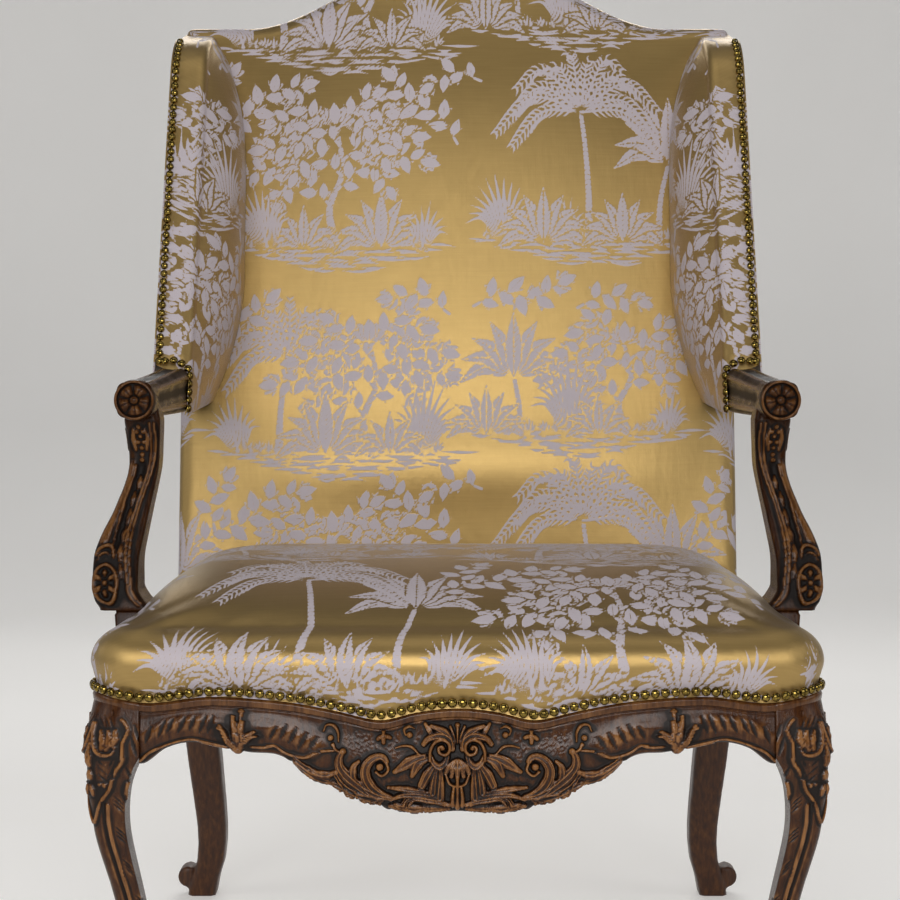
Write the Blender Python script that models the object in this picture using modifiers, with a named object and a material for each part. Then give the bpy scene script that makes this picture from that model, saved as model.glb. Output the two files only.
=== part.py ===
# Wing armchair with open arms: a carved walnut frame, pegged with mortise and tenon, and fixed
# upholstery on webbing. Metres, +Z up. The chair faces -Y and stands on z = 0, with its
# footprint centred on the origin.

import math
from bisect import bisect_right

import bmesh
import bpy
from mathutils import Matrix, Vector

# Clearances: between touching faces, round a tenon, of cloth round wood; reach of a cut past a face
GAP = 0.0003
SLOT = 0.0006
NOTCH = 0.0008
OVERRUN = 0.004
CLOTH = 0.0016

# Seat frame, as a plan: widths over the rails, depth to the front of the rear posts
SEAT_FRONT_WIDTH = 0.733
SEAT_REAR_WIDTH = 0.696
SEAT_DEPTH = 0.572
FRONT_BOW = 0.026
BOW_REACH = 0.200
CORNER_RADIUS = 0.040
CORNER_EASE = 0.008
RAIL_TOP = 0.385
FRONT_RAIL_THICKNESS = 0.032
SIDE_RAIL_THICKNESS = 0.042
BACK_RAIL_THICKNESS = 0.032
BACK_RAIL_SETBACK = 0.004
BACK_RAIL_HEIGHT = 0.058
LIP_STEP = 0.004
LIP_BAND = 0.009
LIP_GROOVE = 0.004
CORNER_LIP = 0.0205
BAND_SWELL = 0.001
GROOVE_COVE = 0.003
FACE_SWELL = 0.003
FACE_BELLY = 0.55
FOOT_EDGE = 0.006
FOOT_STEP = 0.002

# Lip of the front rail and lower edge of its apron: half span from the middle, drop below the
# rail top. The lip waves up and down under the nails, the apron hangs deepest in the middle.
FRONT_LIP = [(0.0, 0.030), (0.040, 0.034), (0.075, 0.042), (0.115, 0.034), (0.165, 0.025),
             (0.240, 0.0205), (0.307, 0.028), (0.336, 0.0245), (0.3665, 0.0205)]
APRON_EDGE = [(0.0, 0.1335), (0.030, 0.1335), (0.055, 0.1335), (0.080, 0.127), (0.106, 0.1185),
              (0.123, 0.1095), (0.144, 0.1015), (0.158, 0.089), (0.178, 0.0785), (0.205, 0.0765),
              (0.234, 0.071), (0.262, 0.0675), (0.288, 0.0735), (0.3145, 0.090)]
SIDE_APRON = [(0.0, 0.076), (0.18, 0.060), (0.36, 0.066), (0.50, 0.082), (0.64, 0.066),
              (0.82, 0.058), (1.0, 0.062)]
TENON_LENGTH = 0.022
BAR_TENON = 0.008
TENON_THICKNESS = 0.010
TENON_SHOULDER = 0.014
TENON_EDGE = 0.001
BAR_EDGE = 0.002
BLOCK_LENGTH = 0.062
BLOCK_DROP = 0.012
BLOCK_HEIGHT = 0.038

# Front legs: share of the height under the lip, push outwards from the stile, thickness, arris
STILE = 0.052
STILE_EDGE = 0.003
FRONT_LEG = [(0.00, -0.0020, 0.042, 0.010), (0.04, -0.0040, 0.042, 0.010), (0.10, -0.0120, 0.036, 0.010),
             (0.18, -0.0190, 0.031, 0.010), (0.30, -0.0160, 0.0285, 0.010), (0.43, -0.0080, 0.029, 0.010),
             (0.59, 0.0045, 0.033, 0.010), (0.66, 0.0075, 0.035, 0.011), (0.73, 0.0082, 0.040, 0.013),
             (0.795, 0.0055, 0.049, 0.018), (0.835, 0.0035, 0.059, 0.024), (0.90, 0.0025, 0.057, 0.032),
             (1.00, 0.0, 0.052, 0.040)]
FRONT_SCROLL_RADIUS = 0.0150
FRONT_SCROLL_WIDTH = 0.036
FRONT_SCROLL_REACH = 0.0165
FRONT_SCROLL_LIFT = 0.019
KNEE_SHARE = 0.8

# Rear posts: below the seat, share of the rail's height, push outwards, push back, width, depth
POST_WIDTH = 0.036
POST_DEPTH = 0.040
POST_EDGE = 0.006
REAR_LEG = [(0.0, 0.0010, 0.064, 0.036, 0.040), (0.03, 0.0005, 0.062, 0.036, 0.040),
            (0.118, -0.0115, 0.052, 0.035, 0.036), (0.24, -0.0155, 0.038, 0.037, 0.036),
            (0.35, -0.0135, 0.024, 0.039, 0.037), (0.53, -0.0080, 0.010, 0.042, 0.039),
            (0.78, 0.0, 0.0, 0.036, 0.040), (1.0, 0.0, 0.0, 0.036, 0.040)]
REAR_SCROLL_RADIUS = 0.0135
REAR_SCROLL_WIDTH = 0.032
REAR_SCROLL_REACH = 0.018
REAR_SCROLL_LIFT = 0.0245

# Back: recline, and lengths measured up the slope from the rail top
RECLINE = math.radians(9.5)
LOWER_RAIL_FOOT = 0.052
LOWER_RAIL_HEIGHT = 0.050
BACK_FRAME_THICKNESS = 0.034
CREST_SHOULDER = 0.731
CREST_RAIL_HEIGHT = 0.055
CREST_RISE = 0.070
CREST_ARCH_START = 0.268
CREST_ARCH_END = 0.065
CREST_CHAMFER = 0.018
PAD_OVER_CREST = 0.009
BACK_PAD_FOOT = 0.0405
BACK_PAD_EDGE = 0.040
BACK_PAD_CROWN = 0.024
BACK_PAD_ROLL = 0.016
BACK_CORNER_RADIUS = 0.009
BACK_WALL = 0.40

# Seat upholstery: heights above the rail top, laps past the rear posts' face
SEAT_EDGE_RISE = 0.043
SEAT_CROWN = 0.050
SEAT_ROLL = 0.034
SEAT_BULGE = 0.007
SEAT_REAR_LAP = 0.026
SEAT_FALL_BEFORE = 0.052
SEAT_WALL = 0.45
ROLL_RADIUS_LEAST = 0.004

# Webbing and base cloth: middle lines of the straps from the front, across, and up the back
STRAP_WIDTH = 0.058
STRAP_THICKNESS = 0.002
BASE_CLOTH = 0.001
WEB_LAP = 0.014
WEB_SIDE_LAP = 0.018
SEAT_STRAPS_ACROSS = (0.085, 0.235, 0.325, 0.415, 0.505)
SEAT_STRAPS_ALONG = (-0.24, -0.12, 0.0, 0.12, 0.24)
BACK_STRAPS_ACROSS = (0.135, 0.215, 0.365, 0.445, 0.525, 0.605)
BACK_STRAPS_UP = (-0.20, -0.10, 0.0, 0.10, 0.20)
BASE_CORNER = 0.036

# Arms: distance back from the front, height above the rail top, width and depth of the section.
# They run from over their supports to under the wing posts, and on to the rear posts.
ARM_SECTIONS = [(0.136, 0.2680, 0.037, 0.037), (0.175, 0.2680, 0.038, 0.038),
                (0.230, 0.2690, 0.036, 0.041), (0.300, 0.2710, 0.034, 0.046),
                (0.372, 0.2730, 0.034, 0.050), (0.640, 0.2730, 0.034, 0.050)]
ARM_INSET = 0.0262
ARM_WING_LINE = 0.372
ARM_EDGE = 0.009
ARM_SCROLL_RADIUS = 0.0215
ARM_SCROLL_LENGTH = 0.048
ARM_SCROLL_PROUD = 0.004

# Arm supports: height above the rail top, distance in from the side rail's face at the support,
# distance back, width and depth of the section
SUPPORT_STUMP = 0.047
SUPPORT_SECTIONS = [(0.0500, 0.0165, 0.157, 0.0540, 0.066), (0.0600, 0.0095, 0.157, 0.0510, 0.064),
                    (0.0730, 0.0050, 0.158, 0.0475, 0.062), (0.1044, 0.0055, 0.163, 0.0475, 0.055),
                    (0.1255, 0.0105, 0.168, 0.0450, 0.050), (0.1540, 0.0197, 0.176, 0.0370, 0.046),
                    (0.1940, 0.0301, 0.184, 0.0315, 0.042), (0.2250, 0.0307, 0.185, 0.0340, 0.042),
                    (0.2472, 0.0295, 0.183, 0.0380, 0.044)]
SUPPORT_EDGE = 0.010
STUMP_INSET = 0.021
STUMP_WIDTH = 0.0295
STUMP_DEPTH = 0.058
STUMP_EDGE = 0.003

# Wings: a frame of a leaning post and a top rail, padded on the inner side. The feet are heights
# below the arm's top, the top is set from the crest rail's shoulder.
WING_FACE = 0.043
WING_BULGE = 0.039
WING_ROLL = 0.011
WING_FOOT_DROP_FRONT = 0.051
WING_FOOT_DROP_REAR = 0.043
WING_TOP_OVER = 0.008
WING_TOP_FALL = 0.019
WING_FRONT_LOW = 0.360
WING_FRONT_HIGH = 0.570
WING_CORNER_RADIUS = 0.050
WING_CROWN_LOW = 0.35
WING_CROWN_HIGH = 0.60
WING_CROWN_FRONT = 0.35
WING_STICK = 0.028
WING_STICK_INSET = 0.0219
STICK_EDGE = 0.004
WING_HEAD = 0.012
WING_EASE = 0.004
WING_ARM_CLEARANCE = 0.0012
WING_BACK_CLEARANCE = 0.0012
WING_WALL = 0.40
WING_COVER_LAP = 0.004

# Colours as linear RGB, with roughness and metallic value
WALNUT = ("walnut", (0.045, 0.020, 0.010, 1.0), 0.38, 0.0)
BEECH = ("beech", (0.30, 0.17, 0.08, 1.0), 0.60, 0.0)
BROCADE = ("gold_brocade", (0.52, 0.36, 0.12, 1.0), 0.42, 0.0)
HORSEHAIR = ("horsehair", (0.045, 0.035, 0.030, 1.0), 0.90, 0.0)
JUTE = ("jute_webbing", (0.38, 0.26, 0.13, 1.0), 0.90, 0.0)
HESSIAN = ("hessian", (0.33, 0.24, 0.13, 1.0), 0.90, 0.0)

SEAT_HALF = SEAT_FRONT_WIDTH / 2
STILE_INNER = SEAT_HALF - STILE
POST_OUTER = SEAT_REAR_WIDTH / 2
POST_INNER = POST_OUTER - POST_WIDTH
POST_CENTRE = POST_OUTER - POST_WIDTH / 2
BACK_LINE = SEAT_DEPTH + POST_DEPTH / 2
BACK_FACE = POST_DEPTH / 2
BACK_HALF = POST_OUTER + GAP + CLOTH
BACK_RAIL_FACE = SEAT_DEPTH + BACK_RAIL_SETBACK
CREST_FOOT = CREST_SHOULDER - CREST_RAIL_HEIGHT
LEG_LIP = RAIL_TOP - CORNER_LIP
SEAT_EDGE = RAIL_TOP + SEAT_EDGE_RISE
SEAT_PAD_DEPTH = SEAT_DEPTH + SEAT_REAR_LAP
SEAT_PAD_FALL = SEAT_DEPTH - SEAT_FALL_BEFORE
SEAT_WEB_LEVEL = RAIL_TOP + GAP + STRAP_THICKNESS / 2
SEAT_CLOTH_LEVEL = SEAT_WEB_LEVEL + STRAP_THICKNESS / 2 + GAP
SEAT_FLOOR = SEAT_CLOTH_LEVEL + BASE_CLOTH + GAP
WEB_REAR = BACK_RAIL_FACE + WEB_LAP
WING_OUTER = BACK_HALF
WING_STICK_LINE = WING_OUTER - WING_STICK_INSET
ARM_TOP = RAIL_TOP + ARM_SECTIONS[-1][1] + ARM_SECTIONS[-1][3] / 2
WING_FOOT_FRONT = ARM_TOP - WING_FOOT_DROP_FRONT
WING_FOOT_REAR = ARM_TOP - WING_FOOT_DROP_REAR
WING_TOP_REAR = RAIL_TOP + CREST_SHOULDER * math.cos(RECLINE) + WING_TOP_OVER
WING_TOP_FRONT = WING_TOP_REAR - WING_TOP_FALL
SIDES = (("left", -1), ("right", 1))


def mix(start, end, share):
    return start + (end - start) * share


def curve_at(points, position):
    """Value of the smooth curve through (position, value, ...) points, level at its peaks."""
    last = len(points) - 2
    index = max(0, min(last, bisect_right([p[0] for p in points], position) - 1))
    before = points[max(index - 1, 0)]
    start = points[index]
    end = points[index + 1]
    after = points[min(index + 2, last + 1)]
    span = end[0] - start[0]
    t = (position - start[0]) / span
    values = []
    for v0, v1, v2, v3 in zip(before[1:], start[1:], end[1:], after[1:]):
        level_in = (v1 - v0) * (v2 - v1) <= 0
        level_out = (v2 - v1) * (v3 - v2) <= 0
        slope_in = 0.0 if level_in else (v2 - v0) / (end[0] - before[0]) * span
        slope_out = 0.0 if level_out else (v3 - v1) / (after[0] - start[0]) * span
        values.append((2 * t ** 3 - 3 * t ** 2 + 1) * v1 + (t ** 3 - 2 * t ** 2 + t) * slope_in
                      + (3 * t ** 2 - 2 * t ** 3) * v2 + (t ** 3 - t ** 2) * slope_out)
    return values


def spread(count, start=-1.0, end=1.0, crowd=0.0):
    """Evenly spread values, crowded towards both ends by the share given."""
    values = []
    for k in range(count + 1):
        t = 2 * k / count - 1
        t = mix(t, math.sin(t * math.pi / 2), crowd)
        values.append(mix(start, end, (t + 1) / 2))
    return values


def plan(across, back):
    """A point of the straight seat plan, tapered to the rear and bowed at the front."""
    taper = 1 - (1 - SEAT_REAR_WIDTH / SEAT_FRONT_WIDTH) * back / SEAT_DEPTH
    bow = FRONT_BOW * (across / SEAT_HALF) ** 2 * max(0.0, 1 - back / BOW_REACH)
    return across * taper, back + bow


def on_plan(across, back, height):
    return (*plan(across, back), height)


def as_given(x, y, z):
    return (x, y, z)


def side_line(back):
    """Distance from the middle to the side rail's face."""
    return plan(SEAT_HALF, back)[0]


def back_point(across, forward, up):
    """A point of the reclined back: forward of its middle plane, up the slope."""
    lean, rise = math.sin(RECLINE), math.cos(RECLINE)
    return Vector((across, BACK_LINE + up * lean - forward * rise, RAIL_TOP + up * rise + forward * lean))


def back_depth(height, forward):
    """Depth of the plane lying forward of the back's middle plane, at a height."""
    lean, rise = math.sin(RECLINE), math.cos(RECLINE)
    up = (height - RAIL_TOP - forward * lean) / rise
    return BACK_LINE + up * lean - forward * rise


def crest_height(across):
    """Top of the crest rail, up the slope: level shoulders and a swept arch between them."""
    t = (CREST_ARCH_START - abs(across)) / (CREST_ARCH_START - CREST_ARCH_END)
    t = max(0.0, min(1.0, t))
    return CREST_SHOULDER + CREST_RISE * (1 - math.cos(math.pi * t)) / 2


def new_material(finish):
    name, colour, roughness, metallic = finish
    material = bpy.data.materials.get(name)
    if material is None:
        material = bpy.data.materials.new(name)
        material.use_nodes = True
        shader = material.node_tree.nodes["Principled BSDF"]
        shader.inputs["Base Color"].default_value = colour
        shader.inputs["Roughness"].default_value = roughness
        shader.inputs["Metallic"].default_value = metallic
    return material


def add_part(name, mesh, finish):
    mesh.materials.append(new_material(finish))
    part = bpy.data.objects.new(name, mesh)
    parts.objects.link(part)
    part.parent = chair
    return part


def add_cutter(name, mesh):
    cutter = bpy.data.objects.new(name, mesh)
    cutters.objects.link(cutter)
    cutter.hide_render = True
    cutter.display_type = 'WIRE'
    cutter.parent = chair
    return cutter


def face_outwards(bm):
    bm.normal_update()
    bmesh.ops.recalc_face_normals(bm, faces=bm.faces)


def finish_mesh(bm, name):
    mesh = bpy.data.meshes.new(name)
    bm.to_mesh(mesh)
    bm.free()
    mesh.shade_smooth()
    mesh.set_sharp_from_angle(angle=math.radians(35))
    return mesh


def loft_mesh(name, rings):
    """Closed solid through rings that have the same number of points."""
    bm = bmesh.new()
    rows = [[bm.verts.new(point) for point in ring] for ring in rings]
    for lower, upper in zip(rows, rows[1:]):
        for k in range(len(lower)):
            n = (k + 1) % len(lower)
            bm.faces.new((lower[k], lower[n], upper[n], upper[k]))
    bm.faces.new(rows[0])
    bm.faces.new(rows[-1])
    bmesh.ops.remove_doubles(bm, verts=bm.verts, dist=0.00001)
    face_outwards(bm)
    return finish_mesh(bm, name)


def box_mesh(name, place, ranges):
    """Box of three ranges, each corner put in place by a function."""
    bm = bmesh.new()
    bmesh.ops.create_cube(bm, size=1.0)
    for vert in bm.verts:
        share = vert.co + Vector((0.5, 0.5, 0.5))
        vert.co = place(*(mix(*limits, t) for limits, t in zip(ranges, share)))
    face_outwards(bm)
    return finish_mesh(bm, name)


def flat_outline(name, points, thickness, place):
    """Plate cut to a flat outline; place puts (x, y, z) of the plate into the chair."""
    curve = bpy.data.curves.new(name + "_outline", 'CURVE')
    curve.dimensions = '2D'
    curve.fill_mode = 'BOTH'
    curve.extrude = thickness / 2
    spline = curve.splines.new('POLY')
    spline.points.add(len(points) - 1)
    for target, (x, y) in zip(spline.points, points):
        target.co = (x, y, 0.0, 1.0)
    spline.use_cyclic_u = True
    guide = bpy.data.objects.new(name + "_outline", curve)
    bpy.context.scene.collection.objects.link(guide)
    bpy.context.view_layer.update()
    evaluated = guide.evaluated_get(bpy.context.evaluated_depsgraph_get())
    bm = bmesh.new()
    bm.from_mesh(evaluated.to_mesh())
    evaluated.to_mesh_clear()
    bpy.data.objects.remove(guide)
    bmesh.ops.remove_doubles(bm, verts=bm.verts, dist=0.00001)
    for vert in bm.verts:
        vert.co = place(*vert.co)
    face_outwards(bm)
    return finish_mesh(bm, name)


def cut(part, cutter, operation='DIFFERENCE'):
    boolean = part.modifiers.new(cutter.name, 'BOOLEAN')
    boolean.operation = operation
    boolean.solver = 'EXACT'
    boolean.object = cutter


def rounded(x0, x1, y0, y1, radii, steps=3):
    """Rectangle with four rounded corners, inner front first, as a ring of points."""
    corners = ((x0, y0, 1, 1, 180), (x1, y0, -1, 1, 270), (x1, y1, -1, -1, 0), (x0, y1, 1, -1, 90))
    points = []
    for (x, y, sx, sy, start), radius in zip(corners, radii):
        for k in range(steps + 1):
            angle = math.radians(start + 90 * k / steps)
            points.append((x + radius * (sx + math.cos(angle)), y + radius * (sy + math.sin(angle))))
    return points


def scroll_mesh(name, radius, width, centre, axis):
    """Round scroll of a foot or an arm, lying along an axis."""
    bm = bmesh.new()
    bmesh.ops.create_cone(bm, cap_ends=True, segments=20, radius1=radius, radius2=radius, depth=width)
    turn = Vector((0, 0, 1)).rotation_difference(axis).to_matrix().to_4x4()
    bmesh.ops.transform(bm, matrix=Matrix.Translation(centre) @ turn, verts=bm.verts)
    return finish_mesh(bm, name)


def front_lip(across):
    return RAIL_TOP - curve_at(FRONT_LIP, min(abs(across), FRONT_LIP[-1][0]))[0]


def lip_height(across, back):
    """Height of the moulded lip round the seat: waved at the front, level along the side rails."""
    return LEG_LIP if back > STILE + GAP else front_lip(across)


def rail_profile(lip, lower, thickness):
    """Section of a show-wood rail: rebate, moulded lip, groove, swelling face, thin lower edge."""
    face = mix(lip, lower, FACE_BELLY)
    return [(thickness, RAIL_TOP), (LIP_STEP, RAIL_TOP), (LIP_STEP, lip), (0.0, lip),
            (-BAND_SWELL, lip - LIP_BAND), (LIP_GROOVE, lip - LIP_BAND - GROOVE_COVE), (-FACE_SWELL, face),
            (FOOT_STEP, lower + FOOT_EDGE), (FOOT_EDGE, lower), (thickness, lower)]


def tenon_ring(count, thickness, low):
    """Tenon of a show-wood rail, with as many points as the rail's section."""
    near, far = (thickness - TENON_THICKNESS) / 2, (thickness + TENON_THICKNESS) / 2
    high = RAIL_TOP - TENON_SHOULDER
    face = [(near, mix(high, low, k / (count - 3))) for k in range(count - 2)]
    return [(far, high)] + face + [(far, low)]


def tenon_low(drop):
    return RAIL_TOP - drop + TENON_SHOULDER


def make_front_rail():
    reach = STILE_INNER - GAP
    rings = []
    count = 34
    for k in range(count + 1):
        across = mix(-reach, reach, k / count)
        lower = RAIL_TOP - curve_at(APRON_EDGE, min(abs(across), APRON_EDGE[-1][0]))[0]
        profile = rail_profile(front_lip(across), lower, FRONT_RAIL_THICKNESS)
        rings.append([(*plan(across, depth), z) for depth, z in profile])
    tenon = tenon_ring(len(rings[0]), FRONT_RAIL_THICKNESS, tenon_low(APRON_EDGE[-1][1]))
    for side, add in ((-1, lambda ring: rings.insert(0, ring)), (1, rings.append)):
        for across in (reach, reach + TENON_LENGTH):
            add([(*plan(side * across, depth), z) for depth, z in tenon])
    add_part("front_rail", loft_mesh("front_rail", rings), WALNUT)


def make_front_leg(label, side):
    inner = [STILE_EDGE, CORNER_RADIUS - LIP_STEP + CORNER_EASE, STILE_EDGE, STILE_EDGE]
    outer = [STILE_EDGE, CORNER_RADIUS, STILE_EDGE, STILE_EDGE]
    rebate = rounded(STILE_INNER, SEAT_HALF - LIP_STEP, LIP_STEP, STILE, inner)
    lip = rounded(STILE_INNER, SEAT_HALF, 0.0, STILE, outer)
    levels = [RAIL_TOP] * len(rebate), [lip_height(*p) for p in rebate], [lip_height(*p) for p in lip]
    sections = list(zip(levels, (rebate, rebate, lip)))
    count = 20
    for k in range(count):
        share = 1 - (k + 1) / count
        push, thick, arris = curve_at(FRONT_LEG, share)
        x = SEAT_HALF - STILE / 2 + push
        y = STILE / 2 - push
        half = thick / 2
        inner_edge = max(x - half, STILE_INNER)
        rear_edge = min(y + half, STILE) if share > KNEE_SHARE else y + half
        radii = [STILE_EDGE, arris, STILE_EDGE, STILE_EDGE]
        section = rounded(inner_edge, x + half, y - half, rear_edge, radii)
        sections.append(([share * LEG_LIP] * len(section), section))
    rings = []
    for heights, section in sections:
        points = [plan(x, y) for x, y in section]
        rings.append([(side * x, y, z) for (x, y), z in zip(points, heights)])
    leg = add_part("front_leg_" + label, loft_mesh("front_leg", rings), WALNUT)

    reach = STILE / 2 - FRONT_LEG[0][1] - FRONT_SCROLL_REACH
    x, y = plan(SEAT_HALF - reach, reach)
    centre = Vector((side * x, y, FRONT_SCROLL_LIFT))
    axis = Vector((side, 1, 0)).normalized()
    scroll = scroll_mesh("front_scroll", FRONT_SCROLL_RADIUS, FRONT_SCROLL_WIDTH, centre, axis)
    cut(leg, add_cutter("front_scroll_" + label, scroll), 'UNION')

    middle = FRONT_RAIL_THICKNESS / 2
    half = TENON_THICKNESS / 2 + SLOT
    reach = (side * (STILE_INNER - OVERRUN), side * (STILE_INNER + TENON_LENGTH + SLOT))
    heights = (tenon_low(APRON_EDGE[-1][1]) - SLOT, RAIL_TOP - TENON_SHOULDER + SLOT)
    slot = box_mesh("rail_mortise", on_plan, (reach, (middle - half, middle + half), heights))
    cut(leg, add_cutter("front_rail_mortise_" + label, slot))
    middle = SEAT_HALF - SIDE_RAIL_THICKNESS / 2
    across = (side * (middle - half), side * (middle + half))
    heights = (tenon_low(SIDE_APRON[0][1]) - SLOT, RAIL_TOP - TENON_SHOULDER + SLOT)
    depths = (STILE - TENON_LENGTH - SLOT, STILE + OVERRUN)
    slot = box_mesh("rail_mortise", on_plan, (across, depths, heights))
    cut(leg, add_cutter("side_rail_mortise_" + label, slot))


def make_side_rail(label, side):
    start, end = STILE + GAP, SEAT_DEPTH - GAP
    count = 14
    rings = []
    for k in range(count + 1):
        back = mix(start, end, k / count)
        lower = RAIL_TOP - curve_at(SIDE_APRON, k / count)[0]
        profile = rail_profile(LEG_LIP, lower, SIDE_RAIL_THICKNESS)
        rings.append([(depth, back, z) for depth, z in profile])
    for index, back, drop in ((0, start, SIDE_APRON[0][1]), (-1, end, SIDE_APRON[-1][1])):
        tenon = tenon_ring(len(rings[0]), SIDE_RAIL_THICKNESS, tenon_low(drop))
        run = -TENON_LENGTH if index == 0 else TENON_LENGTH
        for reach in (back, back + run):
            ring = [(depth, reach, z) for depth, z in tenon]
            rings.insert(0 if index == 0 else len(rings), ring)
    rings = [[(plan(SEAT_HALF - depth, back), z) for depth, back, z in ring] for ring in rings]
    rings = [[(side * x, y, z) for (x, y), z in ring] for ring in rings]
    rail = add_part("side_rail_" + label, loft_mesh("side_rail", rings), WALNUT)
    cut(rail, support_mortise(label, side))


def make_rear_post(label, side):
    rings = []
    count = 16
    for k in range(count + 1):
        out, rake, width, depth = curve_at(REAR_LEG, k / count)
        x0, x1 = POST_CENTRE + out - width / 2, POST_CENTRE + out + width / 2
        y0, y1 = BACK_LINE + rake - depth / 2, BACK_LINE + rake + depth / 2
        section = rounded(x0, x1, y0, y1, [POST_EDGE] * 4, 2)
        rings.append([(side * x, y, k / count * RAIL_TOP) for x, y in section])
    section = rounded(POST_INNER, POST_OUTER, -BACK_FACE, BACK_FACE, [POST_EDGE] * 4, 2)
    for up in (LOWER_RAIL_FOOT, CREST_FOOT / 2, CREST_FOOT - GAP):
        rings.append([back_point(side * x, -n, up) for x, n in section])
    half = TENON_THICKNESS / 2
    tenon = rounded(POST_CENTRE - half, POST_CENTRE + half, -half, half, [POST_EDGE / 4] * 4, 2)
    for up in (CREST_FOOT - GAP, CREST_FOOT + TENON_LENGTH):
        rings.append([back_point(side * x, -n, up) for x, n in tenon])
    post = add_part("rear_post_" + label, loft_mesh("rear_post", rings), WALNUT)

    rake = REAR_LEG[1][2]
    centre = Vector((side * (POST_CENTRE + REAR_SCROLL_REACH), BACK_LINE + rake, REAR_SCROLL_LIFT))
    scroll = scroll_mesh("rear_scroll", REAR_SCROLL_RADIUS, REAR_SCROLL_WIDTH, centre, Vector((0, 1, 0)))
    cut(post, add_cutter("rear_scroll_" + label, scroll), 'UNION')

    half = TENON_THICKNESS / 2 + SLOT
    middle = SEAT_HALF - SIDE_RAIL_THICKNESS / 2
    across = (side * (middle - half), side * (middle + half))
    heights = (tenon_low(SIDE_APRON[-1][1]) - SLOT, RAIL_TOP - TENON_SHOULDER + SLOT)
    depths = (SEAT_DEPTH - OVERRUN, SEAT_DEPTH + TENON_LENGTH + SLOT)
    slot = box_mesh("rail_mortise", on_plan, (across, depths, heights))
    cut(post, add_cutter("side_rail_mortise_rear_" + label, slot))

    reach = (side * (POST_INNER - OVERRUN), side * (POST_INNER + BAR_TENON + SLOT))
    middle = BACK_RAIL_FACE + BACK_RAIL_THICKNESS / 2
    heights = (RAIL_TOP - BACK_RAIL_HEIGHT + TENON_SHOULDER - SLOT, RAIL_TOP - TENON_SHOULDER + SLOT)
    ranges = (reach, (middle - half, middle + half), heights)
    slot = box_mesh("rail_mortise", as_given, ranges)
    cut(post, add_cutter("back_seat_rail_mortise_" + label, slot))
    low = LOWER_RAIL_FOOT + TENON_SHOULDER - SLOT
    high = LOWER_RAIL_FOOT + LOWER_RAIL_HEIGHT - TENON_SHOULDER + SLOT
    slot = box_mesh("rail_mortise", back_point, (reach, (-half, half), (low, high)))
    cut(post, add_cutter("lower_back_rail_mortise_" + label, slot))
    cut(post, add_cutter("arm_mortise_" + label, loft_mesh("arm_mortise", arm_tenon(side, SLOT))))


def tenoned_bar(name, place, half, section, finish):
    """Straight bar between the posts, with a tenon at each end; section is two ranges."""
    (y0, y1), (z0, z1) = section
    shoulder_y = (y1 - y0 - TENON_THICKNESS) / 2
    full = rounded(y0, y1, z0, z1, [BAR_EDGE] * 4, 1)
    low, high = z0 + TENON_SHOULDER, z1 - TENON_SHOULDER
    tenon = rounded(y0 + shoulder_y, y1 - shoulder_y, low, high, [TENON_EDGE] * 4, 1)
    end = half - GAP
    tip = half + BAR_TENON
    stations = ((-tip, tenon), (-end, tenon), (-end, full), (end, full), (end, tenon), (tip, tenon))
    rings = [[place(x, y, z) for y, z in ring] for x, ring in stations]
    add_part(name, loft_mesh(name, rings), finish)


def make_back_frame():
    depths = (BACK_RAIL_FACE, BACK_RAIL_FACE + BACK_RAIL_THICKNESS)
    section = (depths, (RAIL_TOP - BACK_RAIL_HEIGHT, RAIL_TOP))
    tenoned_bar("back_seat_rail", as_given, POST_INNER, section, WALNUT)
    half = BACK_FRAME_THICKNESS / 2
    section = ((-half, half), (LOWER_RAIL_FOOT, LOWER_RAIL_FOOT + LOWER_RAIL_HEIGHT))
    tenoned_bar("lower_back_rail", back_point, POST_INNER, section, BEECH)

    end, shoulder = POST_OUTER - CREST_CHAMFER, CREST_SHOULDER - CREST_CHAMFER
    tops = [(x, crest_height(x)) for x in spread(32, end, -end)]
    points = [(-POST_OUTER, shoulder), (-POST_OUTER, CREST_FOOT)]
    points += [(POST_OUTER, CREST_FOOT), (POST_OUTER, shoulder)] + tops
    mesh = flat_outline("crest_rail", points, BACK_FRAME_THICKNESS, lambda x, w, n: back_point(x, n, w))
    crest = add_part("crest_rail", mesh, BEECH)
    reach = TENON_THICKNESS / 2 + SLOT
    for label, side in SIDES:
        middle = side * POST_CENTRE
        ranges = ((middle - reach, middle + reach), (-reach, reach),
                  (CREST_FOOT - OVERRUN, CREST_FOOT + TENON_LENGTH + SLOT))
        cut(crest, add_cutter("post_mortise_" + label, box_mesh("post_mortise", back_point, ranges)))


def make_corner_blocks():
    inner = SEAT_HALF - SIDE_RAIL_THICKNESS - GAP
    near = FRONT_RAIL_THICKNESS + GAP
    stile = STILE_INNER - GAP
    rear = BACK_RAIL_FACE - GAP
    outlines = {
        "front": [(stile - BLOCK_LENGTH, near), (stile, near), (stile, STILE + GAP),
                  (inner, STILE + GAP), (inner, STILE + BLOCK_LENGTH)],
        "rear": [(inner, rear - BLOCK_LENGTH), (inner, rear), (inner - BLOCK_LENGTH, rear)],
    }
    middle = RAIL_TOP - BLOCK_DROP - BLOCK_HEIGHT / 2
    for label, side in SIDES:
        for end, outline in outlines.items():
            points = [plan(side * x, y) for x, y in outline]
            name = "corner_block_{}_{}".format(end, label)
            mesh = flat_outline(name, points, BLOCK_HEIGHT, lambda x, y, z: (x, y, z + middle))
            add_part(name, mesh, BEECH)


def arm_section(back):
    """Middle of an arm across and up, its width and depth, at a distance from the front."""
    height, width, depth = curve_at(ARM_SECTIONS, back)
    front = SUPPORT_SECTIONS[0][2]
    share = max(0.0, min(1.0, (back - front) / (ARM_WING_LINE - front)))
    return mix(support_place(ARM_INSET), WING_STICK_LINE, share), RAIL_TOP + height, width, depth


def arm_rear():
    return back_depth(RAIL_TOP + ARM_SECTIONS[-1][1], BACK_FACE)


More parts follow.
